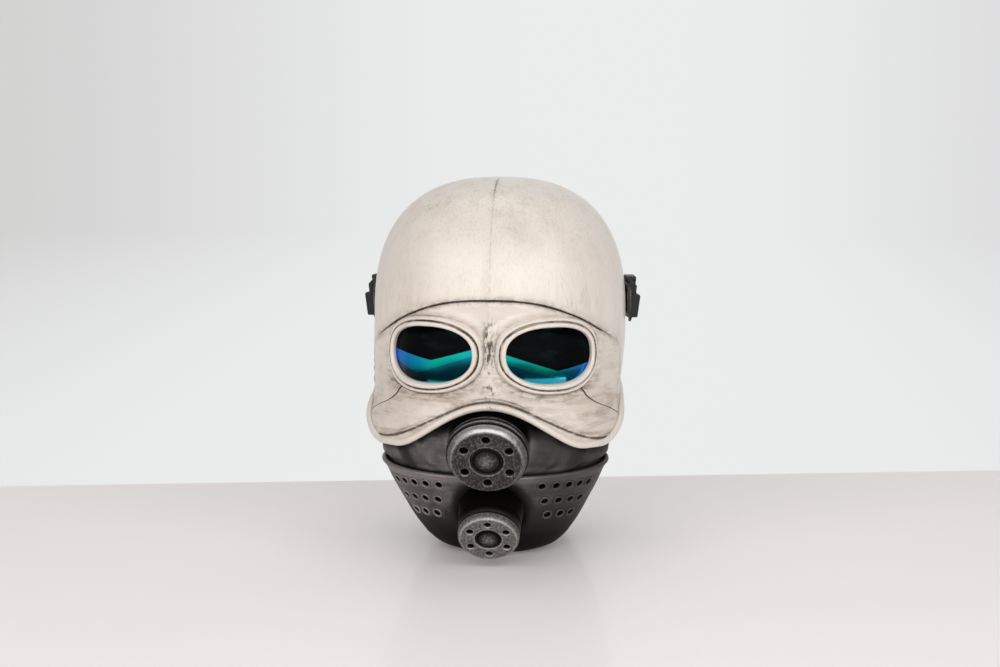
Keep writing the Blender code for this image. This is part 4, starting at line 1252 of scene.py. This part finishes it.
# Painted shade and shadow: under the shell's lip, where the muzzle goes into the chin guard, round the
# canister's foot, beside the canister and in a fold.
shadow_under_lip = smooth(0.010, 0.001, rim_height(turn) - level)
shade_behind_chin = smooth(0.0045, 0.0, level - chin_top(turn))
shadow_by_canister = smooth(0.050, 0.034, radius) * smooth(0.096, 0.114, level)
shade_in_fold = 0.30 * hump(fold_gap(turn, level, 41, 5.0, 0.0925), 0.045)
dark = 0.55 * shadow_under_lip + shade_behind_chin + 0.8 * hump(radius - 0.0265, 0.003) + 0.75 * shadow_by_canister + shade_in_fold
mark(muzzle, shade=np.clip(dark, 0, 1))
add_wall(muzzle, MUZZLE_WALL, inside=1)
dress(muzzle, "gunmetal_paint", GUNMETAL, RESIN)
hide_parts("muzzle")

# %% Chin guard with its rows of vents
# Rows hold a share of the corner's height, the first and last vent's azimuth, and how many there are a side
VENT_ROWS = (
    (0.82, radians(27), radians(63), 5),
    (0.65, radians(31), radians(61), 4),
    (0.49, radians(36), radians(58), 3),
)
VENT_RADIUS = 0.0032


def chin_vents():
    """Centre, direction and radius of each vent of the chin guard."""
    vents = []
    for share, first, last, count in VENT_ROWS:
        for side in (-1, 1):
            for turn in np.linspace(first, last, count):
                place = np.float64(side * turn), np.float64(share * CHIN_CORNER_TOP)
                vents.append((chin_point(*place), outward(chin_point, *place), VENT_RADIUS))
    return vents


def chin_grid(columns, sole_rows, wall_rows):
    """Points of the level sole, from its middle out, and then of the wall, up to the edge."""
    turn = np.linspace(-CHIN_SWEEP, CHIN_SWEEP, columns)
    foot = chin_point(turn, np.zeros(columns))
    middle = np.array([0.0, foot[0, 1], 0.0])
    sole = middle + (foot - middle) * np.linspace(0, 1, sole_rows, endpoint=False)[:, None, None]
    share = np.linspace(0, 1, wall_rows)[:, None] ** 1.15
    return np.concatenate([sole, chin_point(turn + 0 * share, chin_top(turn) * share)])


vents = chin_vents()
chin = skin("chin_guard_skin", chin_grid(340, 12, 84), holes=vents)
spots = places(chin)
turn, level = azimuth_of(spots), spots[:, 2]
gap = np.min([np.linalg.norm(spots - centre, axis=1) for centre, _, _ in vents], axis=0) - VENT_RADIUS
radius, _ = from_axis(LOWER_PLACE, spots)
upper_edge = hump(chin_top(turn) - level - 0.002, 0.003)
mark(chin, crest=np.clip(0.9 * upper_edge + 0.35 * hump(gap - 0.0018, 0.001), 0, 1))
# Painted shade: at the vents' edges, round the lower canister's barrel, and darker towards the bottom.
shade_round_barrel = hump(radius - 0.0255, 0.005) * (spots[:, 1] < 0)
dark = 0.55 * hump(gap, 0.0008) + 0.8 * shade_round_barrel + 0.94 * smooth(0.054, 0.006, level)
mark(chin, shade=np.clip(dark, 0, 1))
add_wall(chin, CHIN_WALL, inside=1)
dress(chin, "gunmetal_paint", GUNMETAL, RESIN)
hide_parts("chin_guard")

# %% Bead along the chin guard's upper edge
turn = np.linspace(-CHIN_SWEEP, CHIN_SWEEP, 300)
bead_path = chin_point(turn, chin_top(turn), 0.0012)
bead_out = outward(chin_point, turn, chin_top(turn) - 0.003)
run = np.gradient(bead_path, axis=0)
run /= np.linalg.norm(run, axis=1, keepdims=True)
bead = sweep("chin_guard_bead", bead_path, bead_out, np.cross(run, bead_out), ring_outline(0.0019, 0.0016))
mark(bead, crest=0.75, shade=0.0)
dress(bead, "gunmetal_paint", GUNMETAL)
print("chin guard", len(chin.data.polygons), "quads,", len(vents), "vents")


# %% Nape guard
RIB_LEVELS = (0.045, 0.070)


def nape_relief(azimuth, height, points):
    """Two low ribs across the guard, and a thicker edge at its sides."""
    turn = pi - np.abs(azimuth)
    inside = smooth(radians(64), radians(58), turn)
    ribs = 0.0016 * sum(hump(height - rib, 0.0035) for rib in RIB_LEVELS) * inside
    between_ends = smooth(0.125, 0.110, height) * smooth(0.0, 0.006, height)
    return ribs + 0.0012 * smooth(radians(69), radians(72), turn) * between_ends


sides, levels = np.linspace(pi - NAPE_SWEEP, pi + NAPE_SWEEP, 200), np.linspace(0.0, NAPE_TOP, 90)
nape = fine_skin("nape_guard_skin", nape_point, sides, levels, nape_relief)
level = places(nape)[:, 2]
rubbed = 0.7 * sum(hump(level - rib, 0.003) for rib in RIB_LEVELS) + hump(level, 0.003)
# Painted shade where the guard goes up under the shell's rear rim.
mark(nape, crest=np.clip(rubbed, 0, 1), shade=0.8 * smooth(0.008, 0.0, REAR_RIM_HEIGHT - level))
add_wall(nape, NAPE_WALL, inside=1)
dress(nape, "gunmetal_paint", GUNMETAL, RESIN)
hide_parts("nape_guard")
print("nape guard", len(nape.data.polygons), "quads")

# %% [markdown]
# ## Repeats by Geometry Nodes
# Vent collars, rivets and stitches are one small shape many times over. A tree puts the shape on every
# point of a guide mesh and turns it by the directions kept on those points. Sizes and finish come in by
# named inputs.


# %% Guide points with their directions
def guide(name, spots, outs, runs):
    """Loose points that keep the way out of the surface and the way along it."""
    mesh = bpy.data.meshes.new(name)
    mesh.from_pydata([tuple(spot) for spot in spots], [], [])
    for key, ways in (("out", outs), ("run", runs)):
        layer = mesh.attributes.new(key, "FLOAT_VECTOR", "POINT")
        layer.data.foreach_set("vector", np.array(ways, np.float32).ravel())
    return add_object(name, mesh)


class Grower:
    """A Geometry Nodes tree that repeats one shape over guide points."""

    def __init__(self, name, inputs):
        self.tree = bpy.data.node_groups.new(name, "GeometryNodeTree")
        face = self.tree.interface
        face.new_socket("Points", in_out="INPUT", socket_type="NodeSocketGeometry")
        self.ids = {}
        for key, (kind, value) in inputs.items():
            socket = face.new_socket(key, in_out="INPUT", socket_type=kind)
            if value is not None:
                socket.default_value = value
            self.ids[key] = socket.identifier
        face.new_socket("Geometry", in_out="OUTPUT", socket_type="NodeSocketGeometry")
        self.source = self.tree.nodes.new("NodeGroupInput")

    def node(self, kind, settings=None, sockets=None):
        return add_node(self.tree, kind, settings, sockets).outputs[0]

    def way(self, key):
        """A direction that is kept on the guide points."""
        return self.node("GeometryNodeInputNamedAttribute", {"data_type": "FLOAT_VECTOR"}, {"Name": key})

    def finish(self, shape):
        """Repeats a shape whose Z goes outwards and whose X goes along the surface."""
        align = "FunctionNodeAlignRotationToVector"
        turned = self.node(align, {"axis": "X"}, {"Vector": self.way("run")})
        turned = self.node(align, {"axis": "Z", "pivot_axis": "X"},
                           {"Rotation": turned, "Vector": self.way("out")})
        many = self.node("GeometryNodeInstanceOnPoints", None,
                         {"Points": self.source.outputs["Points"], "Instance": shape, "Rotation": turned})
        real = self.node("GeometryNodeRealizeInstances", None, {0: many})
        painted = self.node("GeometryNodeSetMaterial", None,
                            {0: real, "Material": self.source.outputs["Finish"]})
        add_node(self.tree, "NodeGroupOutput", None, {0: painted})
        return self


def grow(piece, grower, values):
    """Runs a tree on a guide and leaves a plain mesh."""
    modifier = piece.modifiers.new("repeat", "NODES")
    modifier.node_group = grower.tree
    for key, value in values.items():
        modifier[grower.ids[key]] = value
    return settle(piece)


# %% Trees for collars, rivets and stitches
def collar_tree():
    """A thin ring of round section, flat on the surface."""
    tree = Grower("vent_collars", {"Radius": ("NodeSocketFloat", 0.0035), "Bead": ("NodeSocketFloat", 0.0006),
                                   "Finish": ("NodeSocketMaterial", None)})
    circle = tree.node("GeometryNodeCurvePrimitiveCircle", None,
                       {"Resolution": 30, "Radius": tree.source.outputs["Radius"]})
    bead = tree.node("GeometryNodeCurvePrimitiveCircle", None,
                     {"Resolution": 8, "Radius": tree.source.outputs["Bead"]})
    ring = tree.node("GeometryNodeCurveToMesh", None, {"Curve": circle, "Profile Curve": bead})
    smooth_ring = tree.node("GeometryNodeSetShadeSmooth", None, {0: ring})
    return tree.finish(smooth_ring)


def bead_tree(name, segments, rings):
    """Flattened balls: rivets when round, stitches when long."""
    tree = Grower(name, {"Size": ("NodeSocketVector", (0.001, 0.001, 0.001)),
                         "Finish": ("NodeSocketMaterial", None)})
    ball = tree.node("GeometryNodeMeshUVSphere", None, {"Segments": segments, "Rings": rings, "Radius": 1.0})
    sized = tree.node("GeometryNodeTransform", None, {0: ball, "Scale": tree.source.outputs["Size"]})
    smooth_ball = tree.node("GeometryNodeSetShadeSmooth", None, {0: sized})
    return tree.finish(smooth_ball)


COLLARS = collar_tree()
RIVETS = bead_tree("rivets", 20, 10)
STITCHES = bead_tree("stitches", 8, 6)


def level_runs(outs):
    """Level ways along a surface, from its ways out."""
    runs = np.cross((0.0, 0.0, 1.0), outs)
    return runs / np.linalg.norm(runs, axis=1, keepdims=True)


# %% Collars round the chin guard's vents
outs = np.array([axis for _, axis, _ in vents])
spots = np.array([centre for centre, _, _ in vents]) + 0.0001 * outs
collars = guide("chin_vent_collars", spots, outs, level_runs(outs))
grow(collars, COLLARS, {"Radius": VENT_RADIUS + 0.0003, "Bead": 0.00078, "Finish": GUNMETAL})
mark(collars, crest=0.75, shade=0.0)
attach(collars, "root")

# %% Rivets that hold the nape guard
rivet_turns = pi - radians(66) * np.array([-1, -1, 1, 1])
rivet_levels = np.array([0.094, 0.112, 0.094, 0.112])
outs = outward(nape_point, rivet_turns, rivet_levels)
spots = nape_point(rivet_turns, rivet_levels)
rivets = guide("nape_rivets", spots, outs, level_runs(outs))
grow(rivets, RIVETS, {"Size": (0.0030, 0.0030, 0.0013), "Finish": CANISTER})
mark(rivets, crest=0.5, shade=0.0)
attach(rivets, "root")
print("collars", len(collars.data.polygons), "faces, rivets", len(rivets.data.polygons), "faces")

# %% [markdown]
# ## Strap and buckles
# Webbing runs round the back of the dome between two side buckles. It is flat harness webbing, so it is
# modelled directly: a thin band with raised edges. Each buckle is a base plate and a body, which has a grip
# block in front with a wedge above it and a nib below, and a frame of bars behind for the webbing.

# %% Where the buckles sit
STRAP_LEVEL = 0.197
STRAP_HALF = 0.0125
STRAP_THICKNESS = 0.0016
BUCKLE_TURN = radians(103)
SEAT_CLEARANCE, BASE_THICKNESS, BUCKLE_CLEARANCE, BUCKLE_THICKNESS = 0.0004, 0.0025, 0.0003, 0.0085
BUCKLE_LIFT = SEAT_CLEARANCE + BASE_THICKNESS + BUCKLE_CLEARANCE + BUCKLE_THICKNESS / 2
STRAP_LIFT = 0.0055


def buckle_way(side):
    """A buckle's seat on the shell, and its outward and backward directions, both level."""
    turn, level = np.float64(side * BUCKLE_TURN), np.float64(STRAP_LEVEL)
    out = outward(shell_point, turn, level)
    out = unit((out[0], out[1], 0.0))
    return shell_point(turn, level), out, side * np.cross((0.0, 0.0, 1.0), out)


def buckle_matrix(side):
    """Carries (outwards, backwards, up) to the helmet. Both sides stay right-handed by turning up over."""
    seat, out, back = buckle_way(side)
    matrix = Matrix.Identity(4)
    for row in range(3):
        matrix[row][0], matrix[row][1], matrix[row][2] = out[row], side * back[row], (0, 0, 1)[row]
        matrix[row][3] = seat[row]
    return matrix


# %% Buckle bodies from rounded slabs
def prism(form, low_ring, high_ring):
    """Adds a closed prism between two rings of the same length."""
    low = [form.verts.new(spot) for spot in low_ring]
    high = [form.verts.new(spot) for spot in high_ring]
    form.faces.new(low[::-1])
    form.faces.new(high)
    for index in range(len(low)):
        after = (index + 1) % len(low)
        form.faces.new((low[index], low[after], high[after], high[index]))


def slab(form, outline, low, high):
    """An outline of (back, up) pairs, from one lift off the shell to another."""
    prism(form, [(low, back, up) for back, up in outline], [(high, back, up) for back, up in outline])


def side_slab(form, outline, low, high):
    """An outline of (lift, up) pairs, as seen from in front, between two places along the strap."""
    prism(form, [(lift, low, up) for lift, up in outline], [(lift, high, up) for lift, up in outline])


def rounded_box(back, up, half_long, half_high, corner, steps=5):
    """The outline of a box with round corners, about a middle at (back, up)."""
    outline = []
    for centre_turn, sx, sy in ((0, 1, -1), (1, 1, 1), (2, -1, 1), (3, -1, -1)):
        for step in range(steps):
            turn = (centre_turn - 1 + step / (steps - 1)) * pi / 2
            outline.append((back + sx * (half_long - corner) + corner * cos(turn),
                            up + sy * (half_high - corner) + corner * sin(turn)))
    return outline


def finish_buckle(name, side, form, bevel):
    """Rounds a buckle's edges, marks the roundings as rubbed and puts the piece in its place."""
    bmesh.ops.recalc_face_normals(form, faces=form.faces)
    flats = np.array([face.normal for face in form.faces if face.calc_area() > 2.5e-6])
    mesh = bpy.data.meshes.new(name)
    form.to_mesh(mesh)
    form.free()
    mesh.shade_smooth()
    piece = add_object(name, mesh)
    rounding = piece.modifiers.new("rounding", "BEVEL")
    rounding.width = bevel
    rounding.segments = 3
    rounding.limit_method = "ANGLE"
    rounding.angle_limit = radians(35)
    rounding.harden_normals = True
    settle(piece)
    normals = np.array([face.normal for face in piece.data.polygons])
    layer = piece.data.attributes.new("crest", "FLOAT", "FACE")
    layer.data.foreach_set("value", ((normals @ flats.T).max(axis=1) < 0.985).astype(np.float32))
    piece.data.transform(buckle_matrix(side))
    return dress(piece, "black_plastic", PLASTIC)


def buckle_base(side, word):
    """The plate under the buckle, with a raised foot in front."""
    form = bmesh.new()
    slab(form, rounded_box(0.0, 0.0, 0.021, 0.012, 0.003), 0.0004, 0.0029)
    slab(form, rounded_box(-side * 0.0185, 0.0, 0.0022, 0.0085, 0.0015), 0.0026, 0.0036)
    piece = finish_buckle("buckle_base_plate_" + word, side, form, 0.0005)
    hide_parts("buckle_base_" + word)


def strap_buckle(side, word):
    """A slanted grip block in front, with a wedge above it and a nib below, and a frame of bars behind it."""
    form = bmesh.new()
    low, high = 0.0032, 0.0117
    front = -side * 0.0180
    block = ((low, -0.0152), (high - 0.0030, -0.0152), (high - 0.0022, -0.0146), (high, 0.0022),
             (high - 0.0009, 0.0036), (low, 0.0036))
    wedge = ((low, 0.0030), (high - 0.0034, 0.0030), (high - 0.0026, 0.0106), (low + 0.0022, 0.0146),
             (low, 0.0166))
    nib = ((low, -0.0190), (low + 0.0012, -0.0190), (low + 0.0028, -0.0148), (low, -0.0148))
    side_slab(form, block, front, -side * 0.0015)
    side_slab(form, wedge, -side * 0.0165, -side * 0.0030)
    side_slab(form, nib, -side * 0.0140, -side * 0.0085)
    for up in (-0.0148, 0.0148):
        slab(form, rounded_box(side * 0.0075, up, 0.0105, 0.0020, 0.0012), low, high - 0.0012)
    slab(form, rounded_box(side * 0.0155, 0.0, 0.0024, 0.0165, 0.0015), high - 0.0034, high)
    slab(form, rounded_box(side * 0.0060, 0.0, 0.0022, 0.0150, 0.0012), high - 0.0034, high - 0.0004)
    for rib in range(5):
        up = -0.0110 + 0.0028 * rib
        crown = high - 0.0004 + 0.13 * up
        outline = ((high - 0.0040, up - 0.0008), (crown, up - 0.0008),
                   (crown, up + 0.0008), (high - 0.0040, up + 0.0008))
        side_slab(form, outline, -side * 0.0155, -side * 0.0040)
    piece = finish_buckle("strap_buckle_body_" + word, side, form, 0.0004)
    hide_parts("strap_buckle_" + word)


for side, word in SIDES:
    buckle_base(side, word)
    strap_buckle(side, word)


# %% Webbing
def strap_line(count):
    """The strap's middle line from the right buckle round the back to the left one, and its way out."""
    seat, out, back = buckle_way(1)
    inner = seat + BUCKLE_LIFT * out + 0.002 * back
    mouth = seat + BUCKLE_LIFT * out + 0.022 * back
    start = BUCKLE_TURN + radians(16)
    share = np.linspace(0, 1, count)
    turn = start + (pi - start) * np.clip((share - 0.1) / 0.9, 0, 1)
    away = outward(shell_point, turn, np.full(count, STRAP_LEVEL))
    away[:, 2] = 0
    away /= np.linalg.norm(away, axis=1, keepdims=True)
    lift = STRAP_LIFT * (1 - smooth(start, start + radians(30), turn)) + FIT + STRAP_THICKNESS / 2
    line = shell_point(turn, np.full(count, STRAP_LEVEL)) + lift[:, None] * away
    first = share < 0.1
    line[first] = inner + (mouth - inner) * (share[first] / 0.1)[:, None]
    away[first] = out
    mirror = np.array([-1.0, 1.0, 1.0])
    return np.concatenate([line * mirror, line[-2::-1]]), np.concatenate([away * mirror, away[-2::-1]])


line, away = strap_line(110)
across = np.linspace(-1, 1, 15)
puff = 0.00022 * hump(np.abs(across) - 0.93, 0.06)
grid = line[None] + across[:, None, None] * STRAP_HALF * np.array([0, 0, 1.0])
grid = grid + puff[:, None, None] * away[None]
strap = skin("head_strap_webbing", grid)
run_length = np.concatenate([[0], np.cumsum(np.linalg.norm(np.diff(line, axis=0), axis=1))])
mark(strap, run=np.broadcast_to(run_length, grid.shape[:2]).ravel())
mark(strap, width=np.broadcast_to(across[:, None] * STRAP_HALF, grid.shape[:2]).ravel())
wall = strap.modifiers.new("wall", "SOLIDIFY")
wall.thickness = STRAP_THICKNESS
wall.offset = 0
dress(strap, "black_webbing", WEBBING)
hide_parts("head_strap")
print("strap", round(1000 * run_length[-1]), "mm long")

# %% Stitches where the webbing is turned back at each buckle
STITCHES_ACROSS = np.linspace(-0.010, 0.010, 9)
STITCH_ROWS = (0.0, 0.006)
STITCH_LIFT = 0.0009
stitch_spots, stitch_outs, stitch_runs = [], [], []
for begin, step in ((16, 1), (len(line) - 17, -1)):
    middle, out = line[begin + 3 * step], away[begin + 3 * step]
    along_strap = unit(line[begin + 4 * step] - line[begin + 2 * step])
    for offset, up in [(offset, up) for offset in STITCH_ROWS for up in STITCHES_ACROSS]:
        stitch_spots.append(middle + along_strap * offset + np.array([0, 0, up]) + STITCH_LIFT * out)
        stitch_outs.append(out)
        stitch_runs.append((0.0, 0.0, 1.0))
stitches = guide("strap_stitches", stitch_spots, stitch_outs, stitch_runs)
grow(stitches, STITCHES, {"Size": (0.0010, 0.00035, 0.00025), "Finish": WEBBING})
mark(stitches, run=0.0, width=0.0)
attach(stitches, "root")

# %% [markdown]
# ## Table, backdrop, light and camera
# The photograph shows a pale glossy table that ends a little behind the helmet, and a pale wall. Two big
# soft lights from the upper left and right give the shell its long, soft highlights. The room behind the
# camera is dim, and the upper halves of the lenses are painted near-black as well.


# %% Table and backdrop
def table_finish():
    """A pale top with a thin gloss. It glows a little, for the light that the room would throw on it."""
    colour = (0.85, 0.802, 0.789)
    finish = Finish("table_top", Roughness=0.5, Coat_Weight=0.18, Coat_Roughness=0.08,
                    Specular_IOR_Level=0.25, Emission_Color=(*colour, 1.0), Emission_Strength=0.14)
    cloud = finish.noise(3.0, 2.0)
    finish.give(Base_Color=finish.blend(cloud, colour, tuple(0.97 * part for part in colour)))
    return finish.material


def plain_sheet(name, corners, material):
    """A flat sheet of the stage, which isn't part of the helmet."""
    mesh = bpy.data.meshes.new(name)
    mesh.from_pydata(corners, [], [(0, 1, 2, 3)])
    mesh.materials.append(material)
    sheet = add_object(name, mesh)


def backdrop_finish():
    """A wall that is lit evenly from elsewhere: it glows a little less towards its sides."""
    black = (0.0, 0.0, 0.0, 1.0)
    finish = Finish("back_wall", Base_Color=black, Specular_IOR_Level=0.0, Emission_Strength=1.0)
    aside = finish.step(0.15, 1.6, abs(finish.axis("X")))
    finish.give(Emission_Color=finish.blend(aside, (0.835, 0.845, 0.845), (0.645, 0.648, 0.640)))
    return finish.material


STAGE_HALF = 3
TABLE_BACK = 0.25
TABLE_TURN = radians(9)
WALL_PLACE = 3.2
WALL_TOP = 4
FLOOR_LEVEL = -0.001
left, right = (TABLE_BACK + side * STAGE_HALF * tan(TABLE_TURN) for side in (-1, 1))
plain_sheet("table", [(-STAGE_HALF, -STAGE_HALF, 0), (STAGE_HALF, -STAGE_HALF, 0),
                      (STAGE_HALF, right, 0), (-STAGE_HALF, left, 0)], table_finish())
wall_finish = backdrop_finish()
plain_sheet("back_floor", [(-STAGE_HALF, left, FLOOR_LEVEL), (STAGE_HALF, right, FLOOR_LEVEL),
                           (STAGE_HALF, WALL_PLACE, FLOOR_LEVEL), (-STAGE_HALF, WALL_PLACE, FLOOR_LEVEL)],
            wall_finish)
plain_sheet("back_wall", [(-WALL_TOP, WALL_PLACE, FLOOR_LEVEL), (WALL_TOP, WALL_PLACE, FLOOR_LEVEL),
                          (WALL_TOP, WALL_PLACE, WALL_TOP), (-WALL_TOP, WALL_PLACE, WALL_TOP)], wall_finish)


# %% Lights
def soft_light(name, place, target, size, power, colour=(1.0, 1.0, 1.0)):
    """A big rectangular light that looks at a target."""
    lamp = bpy.data.lights.new(name, "AREA")
    lamp.shape = "RECTANGLE"
    lamp.size, lamp.size_y = size
    lamp.energy = power
    lamp.color = colour
    light = add_object(name, lamp)
    light.location = place
    light.rotation_euler = (Vector(target) - Vector(place)).to_track_quat("-Z", "Y").to_euler()


HELMET_MIDDLE = (0.0, 0.0, 0.16)
soft_light("key", (-1.1, -1.9, 1.3), HELMET_MIDDLE, (2.3, 2.0), 31, (1.0, 0.99, 0.975))
soft_light("fill", (1.3, -1.7, 1.15), HELMET_MIDDLE, (2.2, 2.0), 30, (0.98, 0.99, 1.0))
soft_light("front", (0.2, -2.4, 1.2), HELMET_MIDDLE, (1.6, 0.8), 8)
soft_light("top", (0.0, 0.4, 1.9), HELMET_MIDDLE, (1.4, 1.0), 4)

# %% A world that is dim behind the camera and brighter beyond the helmet
world = bpy.data.worlds.new("studio")
world.use_nodes = True
bpy.context.scene.world = world
tree = world.node_tree
coordinates = add_node(tree, "ShaderNodeTexCoord").outputs["Generated"]
split = add_node(tree, "ShaderNodeSeparateXYZ", None, {0: coordinates})
limits = {"From Min": -1.0, "From Max": 1.0, "Value": split.outputs["Y"]}
spread = add_node(tree, "ShaderNodeMapRange", None, limits)
ramp = add_node(tree, "ShaderNodeValToRGB", None, {0: spread.outputs[0]})
for element, (position, grey) in zip(ramp.color_ramp.elements, ((0.30, 0.06), (0.75, 0.58))):
    element.position = position
    element.color = (grey, grey, grey * 1.02, 1.0)
background = tree.nodes["Background"]
tree.links.new(ramp.outputs["Color"], background.inputs["Color"])
background.inputs["Strength"].default_value = 0.75

# %% Camera at the photograph's angle
TARGET = Vector((0.0, EARS_PLACE, 0.170))
camera_turn, camera_rise, camera_distance = radians(4.5), radians(7.5), 1.60
back = Vector((sin(camera_turn) * cos(camera_rise), -cos(camera_turn) * cos(camera_rise), sin(camera_rise)))
lens_data = bpy.data.cameras.new("camera")
lens_data.sensor_width = 36.0
lens_data.lens = 70.8
camera = add_object("camera", lens_data)
camera.location = TARGET + camera_distance * back
camera.rotation_euler = (-back).to_track_quat("-Z", "Y").to_euler()
bpy.context.scene.camera = camera
bpy.context.scene.view_settings.view_transform = "Standard"
print("camera at", [round(part, 3) for part in camera.location])
